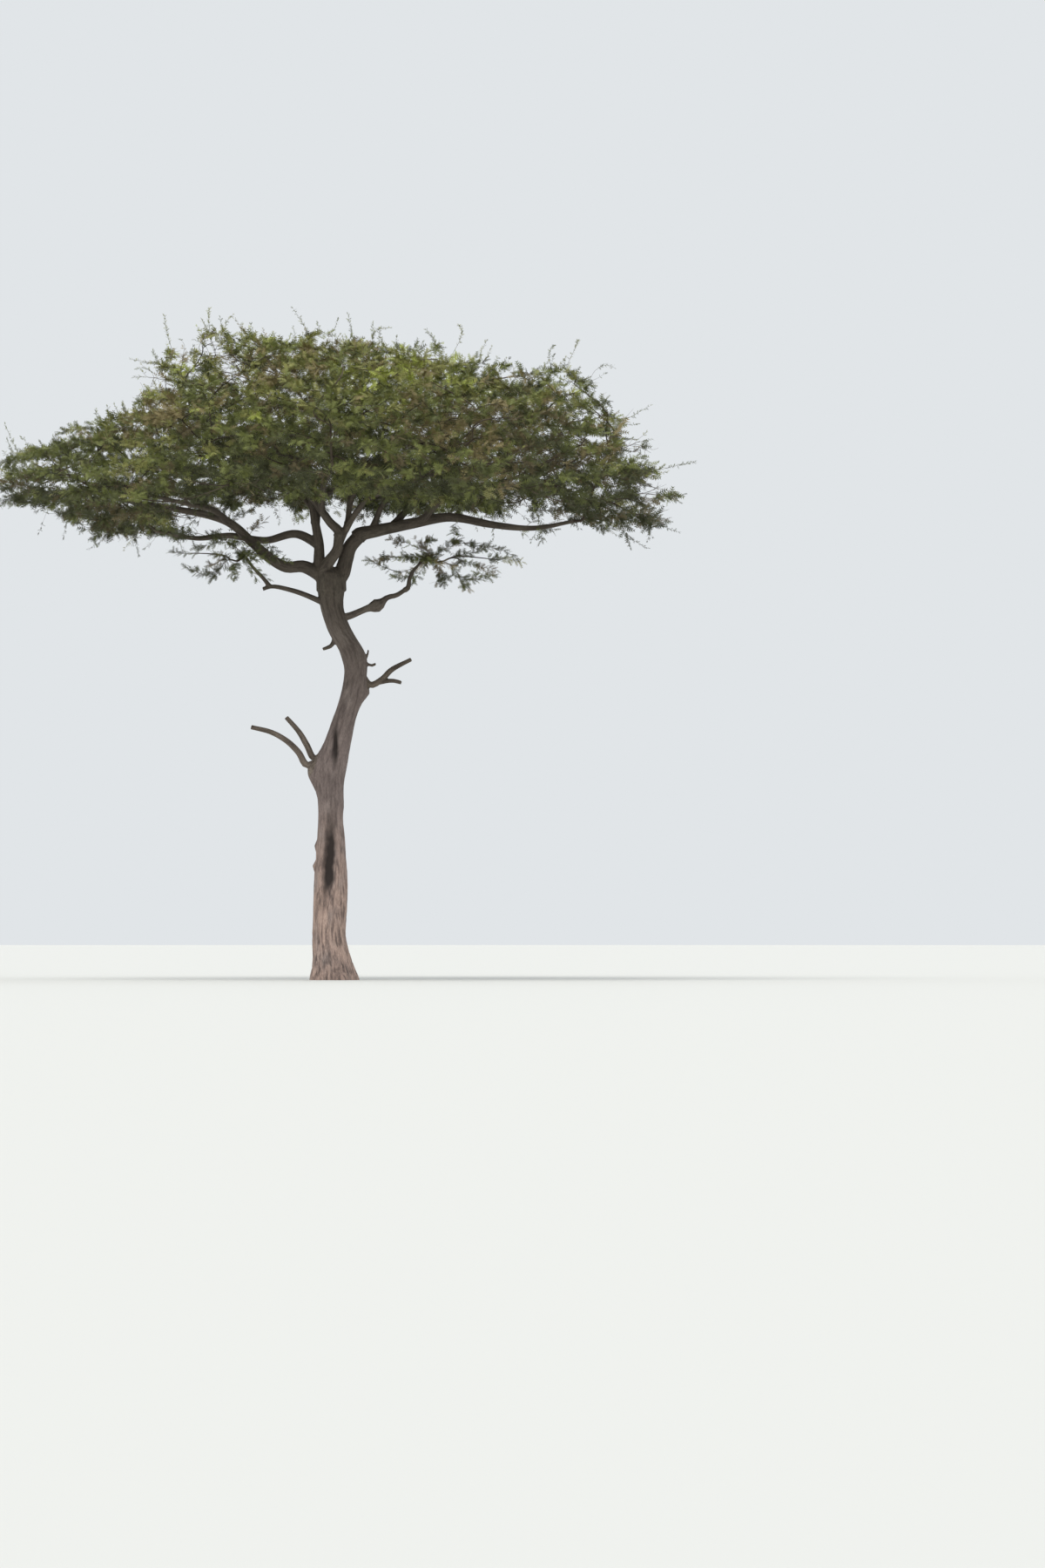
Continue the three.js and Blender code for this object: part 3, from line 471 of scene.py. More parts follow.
def axis_samples():
    """Points along every limb's middle, with frames, radii, lengths so far and the limb's index."""
    heights, _, _, trunk_wide = zip(*TRUNK_STATIONS)
    rows = []
    for index, name in enumerate(limbs):
        path = limbs[name]["path"]
        shares = np.linspace(0, 1, max(3, round(path.length / AXIS_STEP)))
        points, headings, sides, ups = carried_frames(path, shares)
        if name == "trunk":
            radii = np.interp(points[:, 2], heights, trunk_wide)
        else:
            radii = radius_along(name, shares)
        along = shares * path.length + index * LIMB_SHIFT
        own = np.full(len(shares), index)
        rows.append(np.column_stack([points, headings, sides, ups, radii, along, own]))
    return np.vstack(rows)


def nearest_sample(points, samples):
    """For each point the sample whose surface is nearest."""
    nearest = np.empty(len(points), int)
    for start in range(0, len(points), CHUNK):
        part = points[start : start + CHUNK]
        square = (part**2).sum(1)[:, None] + (samples[:, :3] ** 2).sum(1) - 2 * part @ samples[:, :3].T
        away = np.sqrt(np.maximum(square, 0)) - samples[:, RADIUS]
        nearest[start : start + CHUNK] = np.argmin(away, axis=1)
    return nearest


def noise_at(points, scale):
    """Smooth noise, from about -0.5 to 0.5, at points stretched by a scale for each axis."""
    return np.array([noise.noise(Vector(point)) for point in points * np.array(scale)]) / 2


def groove_depth(points, normals):
    """How deep the grooves in front of the trunk are, and a mask of them that sets the painted shade in them.
    """
    deep, mask = np.zeros(len(points)), np.zeros(len(points))
    facing = np.clip(-normals[:, 1] * 2, 0, 1)
    for way, wide, depth, dark in GROOVES:
        sideways, heights = zip(*way)
        middle = np.interp(points[:, 2], heights[::-1], sideways[::-1])
        low, high = min(heights), max(heights)
        inward = np.minimum(points[:, 2] - low, high - points[:, 2])
        ends = np.clip(inward / (GROOVE_END * (high - low)), 0, 1)
        wander = wide * sum(much * noise_at(points, scale) for much, scale in GROOVE_WANDER)
        swell = 1 + GROOVE_SWELL[0] * noise_at(points + 7, GROOVE_SWELL[1])
        share = ends * np.exp(-(((points[:, 0] - middle - wander) / (wide * swell)) ** 2))
        share = facing * share * (points[:, 1] < FRONT)
        deep, mask = np.maximum(deep, depth * share), np.maximum(mask, dark * share)
    return deep, mask


def bark_relief(place, radii, height):
    """Depth of the fissures, which run along the limb, and the share of them at each point, which also sets
    the painted shade in them.
    """
    warp = WARP * noise_at(place, WARP_SCALE)[:, None]
    cracks = sum(
        deep * np.exp(-((noise_at(place + times * warp + shift, scale) / wide) ** 2))
        for scale, times, shift, wide, deep in FISSURES)
    above, more, start, over = ROUGHNESS
    rough = above + more * np.clip((start - height) / over, 0, 1)
    cracks = np.clip(cracks, 0, DEEPEST_FISSURE) * rough
    thick = np.clip((radii - THIN_RADIUS) / THICKER_BY, 0, 1)
    lumps = (LUMPS[0] + LUMPS[1] * thick) * noise_at(place + 3, LUMP_SCALE)
    return lumps - (FISSURE_DEPTH[0] + FISSURE_DEPTH[1] * thick) * cracks, cracks


def dressed_shell():
    """The shell with the bark's relief in its mesh, and what its materials read for each vertex."""
    mesh = remeshed_shell()
    count = len(mesh.vertices)
    points, normals = np.empty(count * 3), np.empty(count * 3)
    mesh.vertices.foreach_get("co", points)
    mesh.vertices.foreach_get("normal", normals)
    points, normals = points.reshape(-1, 3), normals.reshape(-1, 3)
    samples = axis_samples()
    near = samples[nearest_sample(points, samples)]
    away = points - near[:, :3]
    ahead, side, up = ((away * near[:, first : first + 3]).sum(1) for first in (3, 6, 9))
    place = np.column_stack([side, up, near[:, ALONG] + ahead])
    relief, cracks = bark_relief(place, near[:, RADIUS], points[:, 2])
    deep, hollow_shade = groove_depth(points, normals)
    points = points + normals * (relief * (1 - hollow_shade) - deep)[:, None]
    mesh.vertices.foreach_set("co", points.ravel())
    for name, kind, field, values in (
        ("limb_place", "FLOAT_VECTOR", "vector", place),
        ("cracks", "FLOAT", "value", cracks),
        ("hollow_shade", "FLOAT", "value", hollow_shade),
        ("limb", "INT", "value", near[:, LIMB].astype(np.int32)),
    ):
        mesh.attributes.new(name, kind, "POINT").data.foreach_set(field, values.ravel())
    mesh.update()
    return modified(mesh, ("DECIMATE", {"ratio": SHELL_SHARE}))


def cut_piece(mesh, name, cuts):
    """A closed piece of the shell on one side of each cut, given as a height and the side to keep."""
    bm = bmesh.new()
    bm.from_mesh(mesh)
    for height, keep in cuts:
        bmesh.ops.bisect_plane(
            bm, geom=[*bm.verts, *bm.edges, *bm.faces], dist=1e-5, plane_co=(0, 0, height),
            plane_no=(0, 0, keep), clear_inner=True)
        rim = [edge for edge in bm.edges if edge.is_boundary]
        bmesh.ops.holes_fill(bm, edges=rim, sides=0)
        for edge in rim:
            edge.smooth = False
    limb = bm.verts.layers.int["limb"]
    dead = {index for index, own in enumerate(limbs) if own in DEAD}
    for face in bm.faces:
        face.smooth = True
        face.material_index = int(face.verts[0][limb] in dead)
    piece = mesh_of(bm, name)
    piece.attributes.remove(piece.attributes["limb"])
    return placed(name, piece)


# Materials
BUMP_DEPTH = 0.006
BARK_SHADES = ("Plate", "Pale", "Dark", "Foot", "Hollow_Shade", "Crown_Shade")


def srgb(red, green, blue):
    """A colour from 0 to 255 as the eye sees it, as the linear values that a shader takes."""
    parts = [part / 255 for part in (red, green, blue)]
    return (*(part / 12.92 if part <= 0.04045 else ((part + 0.055) / 1.055) ** 2.4 for part in parts), 1)


def new_material(name, roughness):
    material = bpy.data.materials.new(name)
    material.use_nodes = True
    shader = material.node_tree.nodes["Principled BSDF"]
    shader.inputs["Roughness"].default_value = roughness
    shader.inputs["Specular IOR Level"].default_value = 0.25
    return material, material.node_tree, shader


def add_node(tree, kind, inputs=(), **settings):
    """A node with its settings, and its inputs set to a value or linked to a socket."""
    node = tree.nodes.new(kind)
    for key, value in settings.items():
        setattr(node, key, value)
    for key, value in dict(inputs).items():
        if isinstance(value, bpy.types.NodeSocket):
            tree.links.new(value, node.inputs[key])
        else:
            node.inputs[key].default_value = value
    return node


def noise_node(tree, vector, scale, stretch, detail):
    mapping = add_node(tree, "ShaderNodeMapping", {"Vector": vector, "Scale": stretch})
    inputs = {"Vector": mapping.outputs[0], "Scale": scale, "Detail": detail}
    return add_node(tree, "ShaderNodeTexNoise", inputs).outputs["Fac"]


def ramp(tree, value, low, high, first=0.0, last=1.0):
    """The value's share of the way from low to high, as a value from first to last."""
    inputs = {"Value": value, "From Min": low, "From Max": high, "To Min": first, "To Max": last}
    return add_node(tree, "ShaderNodeMapRange", inputs).outputs["Result"]


def maths(tree, operation, *values):
    """A sum on values or sockets."""
    return add_node(tree, "ShaderNodeMath", dict(enumerate(values)), operation=operation).outputs[0]


def mixed(tree, share, first, second, blend):
    """Two colours mixed by a share."""
    inputs = {0: share, 6: first, 7: second}
    return add_node(tree, "ShaderNodeMix", inputs, data_type="RGBA", blend_type=blend).outputs[2]


def bark_group():
    """The shader group that both barks use: plates, fissures with painted shade in them, streaks along the
    limb, stains, grain, painted shade in the hollows and painted shade under the crown.
    """
    tree = bpy.data.node_groups.new("bark_grain", "ShaderNodeTree")
    for name in BARK_SHADES:
        tree.interface.new_socket(name=name, in_out="INPUT", socket_type="NodeSocketColor")
    for name, kind in (("Color", "Color"), ("Height", "Float"), ("Roughness", "Float")):
        tree.interface.new_socket(name=name, in_out="OUTPUT", socket_type=f"NodeSocket{kind}")
    given = tree.nodes.new("NodeGroupInput").outputs
    place, cracks, hollow_shade = (
        add_node(tree, "ShaderNodeAttribute", attribute_name=name).outputs[kind]
        for name, kind in (("limb_place", "Vector"), ("cracks", "Fac"), ("hollow_shade", "Fac")))
    world = add_node(tree, "ShaderNodeTexCoord").outputs["Object"]
    height = add_node(tree, "ShaderNodeSeparateXYZ", {"Vector": world}).outputs["Z"]
    streaks = noise_node(tree, place, 1.0, (26, 26, 4.5), 6)
    patches = noise_node(tree, place, 1.0, (5, 5, 2.2), 5)
    grain = noise_node(tree, place, 1.0, (110, 110, 26), 5)
    stains = noise_node(tree, world, 1.3, (1, 1, 0.6), 4)
    foot = ramp(tree, height, 2.7, 1.2)
    streaked = ramp(tree, streaks, 0.54, 0.34, 0.0, maths(tree, "MULTIPLY_ADD", foot, 0.2, 0.6))
    lighter = mixed(tree, ramp(tree, grain, 0.35, 0.7), (0.8, 0.8, 0.8, 1), (1.18, 1.18, 1.18, 1), "MIX")
    uneven = maths(tree, "MULTIPLY_ADD", patches, 0.9, 0.6)
    # painted shade in the hollows, uneven in patches
    sunk = maths(tree, "MULTIPLY", ramp(tree, hollow_shade, 0.08, 0.95), uneven)
    body = given["Plate"]
    for share, colour, blend in (
        (foot, given["Foot"], "MIX"),
        (ramp(tree, patches, 0.5, 0.75), given["Pale"], "MIX"),
        (streaked, given["Dark"], "MIX"),
        (ramp(tree, stains, 0.56, 0.8), given["Dark"], "MIX"),
        (1.0, lighter, "MULTIPLY"),
        # darker in the fissures: painted shade in the creases
        (ramp(tree, cracks, 0.15, 1.4), given["Dark"], "MIX"),
        # painted shade in the hollows
        (sunk, given["Hollow_Shade"], "MIX"),
        # darker from 3.4 m up to 5.8 m: painted shade under the crown
        (ramp(tree, height, 3.4, 5.8), given["Crown_Shade"], "MULTIPLY"),
    ):
        body = mixed(tree, share, body, colour, blend)
    rough = ramp(tree, grain, 0.0, 1.0, 0.82, 1.0)
    add_node(tree, "NodeGroupOutput", {
        "Color": body, "Height": maths(tree, "ADD", grain, streaks), "Roughness": rough})
    return tree


def bark_material(name, group, bump, colours):
    material, tree, shader = new_material(name, 0.9)
    shades = {socket: srgb(*colour) for socket, colour in zip(BARK_SHADES, colours)}
    grain = add_node(tree, "ShaderNodeGroup", shades, node_tree=group)
    tree.links.new(grain.outputs["Color"], shader.inputs["Base Color"])
    tree.links.new(grain.outputs["Roughness"], shader.inputs["Roughness"])
    relief = add_node(tree, "ShaderNodeBump", {
        "Height": grain.outputs["Height"], "Strength": bump, "Distance": BUMP_DEPTH})
    tree.links.new(relief.outputs["Normal"], shader.inputs["Normal"])
    return material


def plain_material(name, colour, roughness):
    """A material of one plain colour, as leaves, twigs and the floor have."""
    material, _, shader = new_material(name, roughness)
    shader.inputs["Base Color"].default_value = srgb(*colour)
    return material


group = bark_group()
# Colours in the order of BARK_SHADES; the last two are painted shade, in the hollows and under the crown.
bark = bark_material("bark", group, 0.5, (
    (134, 120, 115), (158, 144, 138), (88, 77, 74), (188, 162, 149), (60, 53, 50), (174, 178, 167)))
dead_wood = bark_material("dead_wood", group, 0.4, (
    (118, 106, 96), (148, 136, 124), (70, 62, 56), (118, 106, 96), (78, 69, 66), (178, 182, 171)))

# The bark's two pieces
shell = dressed_shell()
trunk_piece = cut_piece(shell, "trunk_bark", [(0, 1), (SHELL_SEAM, -1)])
boughs_piece = cut_piece(shell, "boughs_bark", [(SHELL_SEAM, 1)])
BELOW_SEAM = ["trunk", *DEAD]
ABOVE_SEAM = [name for name in limbs if name not in BELOW_SEAM]
for piece, nodes in ((trunk_piece, BELOW_SEAM), (boughs_piece, ABOVE_SEAM)):
    piece.data.materials.append(bark)
    piece.data.materials.append(dead_wood)
    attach(piece, "root")
    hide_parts(*nodes)

# Twigs and leaves: each mass grows from its bough's tip to ends spread through its space
POINTS_TRIED = 6000
SPREAD_ROOT = 1.22074408  # the root of x^4 = x + 1
LAYERS = {"gap": 0.36, "wave": 0.8, "pull": 0.42}
STEM = {"lead_in": 0.14, "bend": 0.6, "radii": (0.026, 0.012), "rings": 10, "sides": 6}
BARE_STEM, BARE_TWIG = 3, 2  # rings at the foot of a stem and of a twig from which no twig grows
# How a twig bends, as shares of its reach: how far it keeps its parent's heading, and how far it strays.
BEND = {"lead": 0.32, "stray": 0.08}
WAY_BACK_WEIGHT = 0.45
LEVEL_GROWTH = np.array([1, 1, 1.7])  # a twig grows sideways sooner than up
UNDER_TOP, OVER_FOOT = 0.08, 0.03  # how far the twigs' ends stay inside the crown's outline
# Bays, where they draw back further: sideways place and how far, the noise's scale, its middle and its swing.
RAGGED = {
    "places": [(-4, 0.08), (-2.6, 0.12), (-2, 0.24), (0, 0.18), (2.5, 0.26), (4, 0.5)],
    "scale": (1.5, 1.5, 0.4), "middle": 0.4, "swing": 2.4}
# Levels of twigs: ends for each cubic metre, the share by which they end short of their targets, radii at
# foot and tip, rings and sides, the rise of their bend, and the leafy share. The last level also grows to the
# targets of those before it.
LEVELS = (
    {"ends": 2.2, "short": 0.34, "radii": (0.013, 0.006), "rings": 7, "sides": 4, "rise": 0.06, "leafy": 0.2},
    {"ends": 7, "short": 0.18, "radii": (0.0075, 0.004), "rings": 6, "sides": 3, "rise": 0.03, "leafy": 0.6},
    {"ends": 24, "short": 0, "radii": (0.0042, 0.002), "rings": 4, "sides": 3, "rise": 0.015, "leafy": 0.95},
)
# Thin shoots from ends near the crown's top, underside and rim: how near that is, how much of their heading
# is their parent's, outward and by lot, and their lift at the top, the underside and the rim.
WHIP = {
    "radii": (0.0026, 0.0012), "rings": 5, "sides": 3, "leafy": 0.85, "length": (0.08, 0.3),
    "top": 0.32, "foot": 0.3, "foot_reach": 0.4, "rim": 0.84, "low_longer": 1.2,
    "ahead": 0.5, "outward": 0.6, "stray": 0.3, "lifts": (0.75, -0.35, 0.1)}
# Short leafy shoots along a bough: the gap between them, where they start, how long and thick they are.
SPRIG = {
    "gap": 0.15, "start": 0.3, "length": (0.15, 0.42), "radii": (0.005, 0.002), "rings": 5, "sides": 3,
    "leafy": 0.8, "ahead": 0.6, "stray": (0.6, 0.6, 0.5), "lift": 0.1}
# Tall shoots above the crown and beyond its edge: sideways place and height of their ends.
TALL_WHIPS = [
    (-2.5, 9.88), (-1.84, 10.02), (-1.5, 9.95), (-0.6, 10.06), (0.24, 9.9), (0.6, 9.8), (0.85, 9.74),
    (1.4, 9.68), (1.89, 9.74), (2.3, 9.5), (3.3, 9.45), (3.66, 9.52), (4.2, 9.1), (4.75, 8.6), (-3.0, 9.26),
    (-2.95, 8.98), (-2.85, 8.86), (-2.9, 9.1), (-2.75, 9.2), (-4.9, 8.3), (5.4, 7.73), (5.25, 7.25),
    (5.15, 6.68), (4.7, 6.55), (4.45, 6.48), (2.97, 6.53), (2.4, 6.62), (-3.53, 6.5), (-2.88, 6.34),
    (-4.4, 6.7), (-4.0, 6.6), (-2.2, 6.4),
]
TALL_WHIP_LIFT, TALL_WHIP_STRAY = 0.4, 0.9
LOW_DENSITY = 1.2  # the thin masses on the low branches have more ends in each cubic metre
# Leaves along a twig: how many stand together, and the gap from those to the next and their scale.
TOGETHER = 2
FULL_LEAVES = {"gap": 0.028, "scale": 1}
LOW_LEAVES = {"gap": 0.028, "scale": 0.8}
WHIP_LEAVES = {"gap": 0.021, "scale": 0.36}
LEAF_LENGTH = (0.09, 0.15)
# How a leaf stands: its turn round the twig from the one before and how that strays, its tilt off the twig
# with its spread, what share of it the last ones have, its lift, and how unevenly it faces up.
STANCE = {"turn": 137.5, "stray": 0.35, "tilt": (56, 15), "last": 0.5, "lift": 0.1, "uneven": 0.6}
FLATNESS = 0.65  # of the leaves' spread round their twig
# A leaf's pinnae: where each pair starts on the rib and how far it reaches aside, all of one width and sweep.
PINNAE = ((0.14, 0.3), (0.36, 0.36), (0.58, 0.32), (0.8, 0.22))
PINNA_WIDTH, PINNA_SWEEP, RIB_WIDTH, DROOP = 0.17, 0.12, 0.03, 0.15
# The crown's core, out of sight, has fewer leaves: depth under the top and over the foot, reach, share kept.
CORE = {"under": 0.55, "over": 0.45, "reach": 0.8, "keep": 0.62}
# Places where the sky shows through: sideways place, height, and half their width and height.
OPENINGS = [
    (-1.74, 9.35, 0.32, 0.16), (-1.36, 9.05, 0.3, 0.18), (-2.5, 8.96, 0.3, 0.16), (-2.15, 9.3, 0.22, 0.13),
    (-2.0, 9.05, 0.2, 0.1), (-1.21, 8.5, 0.08, 0.08), (-1.7, 8.6, 0.14, 0.06), (-1.87, 7.8, 0.3, 0.09),
    (-3.9, 7.53, 0.12, 0.06), (-3.37, 7.65, 0.22, 0.07), (-2.23, 7.34, 0.14, 0.05), (-1.82, 7.26, 0.18, 0.1),
    (-1.34, 7.19, 0.18, 0.14), (-0.88, 7.14, 0.3, 0.16), (-2.23, 7.06, 0.3, 0.09), (0.0, 7.23, 0.2, 0.15),
    (0.38, 7.12, 0.1, 0.07), (1.2, 7.6, 0.09, 0.05), (1.5, 7.5, 0.09, 0.08), (1.7, 8.18, 0.13, 0.05),
    (1.95, 7.8, 0.07, 0.08), (2.17, 7.05, 0.16, 0.06), (2.77, 7.07, 0.26, 0.1), (3.25, 7.04, 0.26, 0.1),
    (2.73, 7.36, 0.2, 0.06), (2.8, 7.66, 0.3, 0.05), (3.28, 7.56, 0.18, 0.06), (4.1, 7.28, 0.18, 0.07),
    (4.23, 7.08, 0.14, 0.09), (2.8, 9.22, 0.22, 0.09), (1.7, 9.28, 0.18, 0.08), (1.8, 9.0, 0.09, 0.06),
    (3.5, 8.85, 0.18, 0.08), (3.85, 9.0, 0.2, 0.12), (3.95, 8.35, 0.18, 0.08), (4.42, 7.98, 0.22, 0.13),
    (4.64, 7.3, 0.24, 0.15), (5.0, 7.4, 0.28, 0.2), (4.85, 7.85, 0.22, 0.16), (-4.3, 7.62, 0.12, 0.05),
    (4.35, 8.4, 0.18, 0.12), (4.95, 7.0, 0.18, 0.1), (4.1, 8.7, 0.2, 0.1), (-2.74, 8.82, 0.32, 0.17),
    (-2.28, 6.87, 0.26, 0.15), (-2.8, 6.68, 0.26, 0.11), (-3.25, 6.62, 0.3, 0.12), (-3.75, 6.74, 0.26, 0.1),
    (-4.35, 6.93, 0.34, 0.08), (-3.05, 6.95, 0.12, 0.05),
]
OPENING_EDGE = 0.5  # how ragged their edges are
CLEAR_OF_BARK = 0.03
rng = np.random.default_rng(SEED)


def in_space(name, points):
    """Whether points lie in a mass's own space."""
    mass = masses[name]
    if name in LOW_MASSES:
        return (((points - mass["middle"]) / (mass["high"] - mass["low"]) * 2) ** 2).sum(axis=1) < 1
    top, foot = crown_at(points[:, 0], points[:, 1])
    bays = np.clip(RAGGED["middle"] + RAGGED["swing"] * noise_at(points, RAGGED["scale"]), 0, 1)
    bays *= outline_at(RAGGED["places"], points[:, 0])
    own = norm(points - mass["middle"], axis=1)
    nearest = norm(points[:, None] - cell_middles, axis=2).min(axis=1)
    inside = (points[:, 2] < top - UNDER_TOP - bays) & (points[:, 2] > foot + OVER_FOOT + bays)
    return inside & (own < nearest + 1e-6)


def spread_points(low, high):
    """Points spread evenly through a box, the same each run."""
    turns = np.arange(1, POINTS_TRIED + 1)[:, None] / SPREAD_ROOT ** np.array([1, 2, 3])
    return low + (high - low) * np.mod(0.5 + turns, 1)


def layered(points):
    """Points drawn towards level layers, between which light passes."""
    wave = LAYERS["wave"] * noise_at(points * (1, 1, 0), (0.5, 0.5, 1))
    place = (points[:, 2] - wave) / LAYERS["gap"]
    pulled = points.copy()
    pulled[:, 2] = (place + LAYERS["pull"] * (np.round(place) - place)) * LAYERS["gap"] + wave
    return pulled


def far_apart(points, first, count):
    """The points furthest from the first and from each other, in the order of their picking."""
    gaps = norm(points - first, axis=1)
    picks = []
    for _ in range(min(count, len(points))):
        picks.append(int(gaps.argmax()))
        gaps = np.minimum(gaps, norm(points - points[picks[-1]], axis=1))
    return points[picks]


def bent_way(start, heading, end, rise, rings, heights=None):
    """A twig's way: it leaves along its parent's heading and bends to its end. Points and headings."""
    reach = norm(end - start)
    control = start + BEND["lead"] * reach * heading + rise * UP + BEND["stray"] * reach * rng.normal(size=3)
    if heights:
        low, high = heights(*control[:2])
        control[2] = np.clip(control[2], low, high)
    t = np.linspace(0, 1, rings)[:, None]
    points = (1 - t) ** 2 * start + 2 * t * (1 - t) * control + t**2 * end
    return points, unit(2 * (1 - t) * (control - start) + 2 * t * (end - control))


def grow_mass(name):
    """The stem and the levels of twigs of a mass: for each level the ways of its twigs."""
    mass = masses[name]
    path = limbs[mass["on"]]["path"]
    foot, heading = path.at(1)[0], path.heading(1)[0]

    def heights(x, y):
        """Between which heights a twig bends."""
        top, under = crown_at(x, y) if name not in LOW_MASSES else (mass["high"][2], mass["low"][2])
        return under, max(top - UNDER_TOP, under)

    lead = foot + STEM["lead_in"] * heading
    bend = foot + STEM["bend"] * (mass["middle"] - foot)
    stem = Path([foot, lead, bend, mass["middle"]])
    shares = np.linspace(0, 1, STEM["rings"])
    ways = [[stem.at(shares)]]
    joints = [stem.at(shares)[BARE_STEM:]]
    headings = [stem.heading(shares)[BARE_STEM:]]
    back = [shares[BARE_STEM:] * stem.length]
    tried = spread_points(mass["low"], mass["high"])
    inside = layered(tried[in_space(name, tried)])
    density = LOW_DENSITY if name in LOW_MASSES else 1
    volume = np.prod(mass["high"] - mass["low"]) * len(inside) / POINTS_TRIED * density
    counts = [max(2, round(level["ends"] * volume)) for level in LEVELS]
    targets = far_apart(inside, foot, sum(counts))
    for level, start, count in zip(LEVELS, np.cumsum([0, *counts]), counts):
        own = targets[start : start + count] if level["short"] else targets
        ways.append([])
        for target in own[np.argsort(norm(own - foot, axis=1))]:
            points, ahead, way_back = (np.concatenate(rows) for rows in (joints, headings, back))
            away = norm((points - target) * LEVEL_GROWTH, axis=1)
            best = np.argmin(away + WAY_BACK_WEIGHT * way_back)
            end = target + level["short"] * (points[best] - target)
            way, along = bent_way(points[best], ahead[best], end, level["rise"], level["rings"], heights)
            ways[-1].append(way)
            length = norm(end - points[best])
            joints.append(way[BARE_TWIG:])
            headings.append(along[BARE_TWIG:])
            back.append(way_back[best] + length * np.linspace(0, 1, level["rings"])[BARE_TWIG:])
    return ways


def frames_along(ways):
    """Headings, side and up axes at each point of many ways at once."""
    ahead = unit(np.gradient(ways, axis=1), 1e-9)
    side = unit(np.cross(ahead, UP + 0.01), 1e-9)
    return ahead, side, np.cross(side, ahead)


def twig_arrays(ways, radii, sides):
    """Closed tapered twigs along many ways: points and triangles."""
    ways = np.array(ways)
    count, rings, _ = ways.shape
    _, side, up = frames_along(ways)
    turns = np.linspace(0, 2 * math.pi, sides, endpoint=False)
    reach = np.linspace(radii[0], radii[1], rings)[None, :, None, None]
    around = side[:, :, None] * np.cos(turns)[:, None] + up[:, :, None] * np.sin(turns)[:, None]
    points = (ways[:, :, None] + reach * around).reshape(-1, 3)
    faces = []
    for ring in range(rings - 1):
        for i in range(sides):
            a, b = ring * sides + i, ring * sides + (i + 1) % sides
            faces += [(a, b, b + sides), (a, b + sides, a + sides)]
    last = (rings - 1) * sides
    for i in range(1, sides - 1):
        faces += [(0, i + 1, i), (last, last + i, last + i + 1)]
    faces = np.array(faces)[None] + (np.arange(count) * rings * sides)[:, None, None]
    return points, faces.reshape(-1, 3)


def mesh_object(name, points, faces, materials, kinds):
    """A piece from arrays of points and triangles, with the index of each triangle's material."""
    mesh = bpy.data.meshes.new(name)
    mesh.vertices.add(len(points))
    mesh.vertices.foreach_set("co", np.ascontiguousarray(points, np.float32).ravel())
    mesh.loops.add(3 * len(faces))
    mesh.loops.foreach_set("vertex_index", np.ascontiguousarray(faces, np.int32).ravel())
    mesh.polygons.add(len(faces))
    mesh.polygons.foreach_set("loop_start", np.arange(0, 3 * len(faces), 3, dtype=np.int32))
    mesh.polygons.foreach_set("material_index", np.ascontiguousarray(kinds, np.int32))
    mesh.update(calc_edges=True)
    for material in materials:
        mesh.materials.append(material)
    return placed(name, mesh)


def leaf_faces():
    """The corners of a leaf's faces, for a leaf of length 1 along x that lies flat across y."""
    faces = [((0, -RIB_WIDTH / 2, 0), (1, 0, -DROOP), (0, RIB_WIDTH / 2, 0))]
    for start, aside in PINNAE:
        end, tip = start + PINNA_WIDTH, start + PINNA_WIDTH + PINNA_SWEEP
        for hand in (1, -1):
            corners = [(start, 0), (end, 0), (tip, hand * aside)][::hand]
            faces.append([(x, y, -DROOP * x**2) for x, y in corners])
    return np.array(faces, float)


def leaves_on(ways, leafy, gap, scale):
    """Leaves along the leafy share of many ways: roots, headings, faces, lengths and the way of each."""
    ways = np.array(ways)
    ahead, side, up = frames_along(ways)
    spans = norm(np.diff(ways, axis=1), axis=2).sum(axis=1) * leafy
    numbers = np.maximum(1, np.round(spans / gap).astype(int))
    owner = np.repeat(np.arange(len(ways)), numbers)
    order = np.arange(len(owner)) - np.repeat(np.cumsum(numbers) - numbers, numbers)
    last = order == numbers[owner] - 1
    place = (1 - leafy * (1 - (order + 1) / numbers[owner])) * (ways.shape[1] - 1)
    low = np.minimum(place.astype(int), ways.shape[1] - 2)
    share = (place - low)[:, None]
    roots = ways[owner, low] * (1 - share) + ways[owner, low + 1] * share
    keep = clear_leaves(roots)
    roots, owner, order, last, place = (part[keep] for part in (roots, owner, order, last, place))
    pick = owner, np.round(place).astype(int)
    shape = (len(owner), TOGETHER)
    turn = np.radians(STANCE["turn"]) * (order[:, None] * TOGETHER + np.arange(TOGETHER))
    turn = turn + rng.uniform(0, 6.28, len(ways))[owner, None] + rng.normal(0, STANCE["stray"], shape)
    tilt = np.radians(rng.normal(*STANCE["tilt"], shape)) * np.where(last, STANCE["last"], 1)[:, None]
    turn, tilt = turn[..., None], tilt[..., None]
    around = side[pick][:, None] * np.cos(turn) + FLATNESS * up[pick][:, None] * np.sin(turn)
    headings = unit(ahead[pick][:, None] * np.cos(tilt) + around * np.sin(tilt) + STANCE["lift"] * UP)
    facing = UP + STANCE["uneven"] * rng.normal(size=(*shape, 3))
    facing = unit(facing - headings * (facing * headings).sum(2, keepdims=True))
    lengths = scale * rng.uniform(*LEAF_LENGTH, shape)
    roots = np.repeat(roots[:, None], TOGETHER, axis=1)
    owner = np.broadcast_to(owner[:, None], shape)
    return [part.reshape(-1, *part.shape[2:]) for part in (roots, headings, facing, lengths, owner)]


def reach_of(points):
    """How far out points lie, as shares of the crown's reach."""
    return np.hypot((points[:, 0] - CROWN_SHIFT) * 2 / CROWN_WIDTH, points[:, 1] * 2 / CROWN_DEPTH)


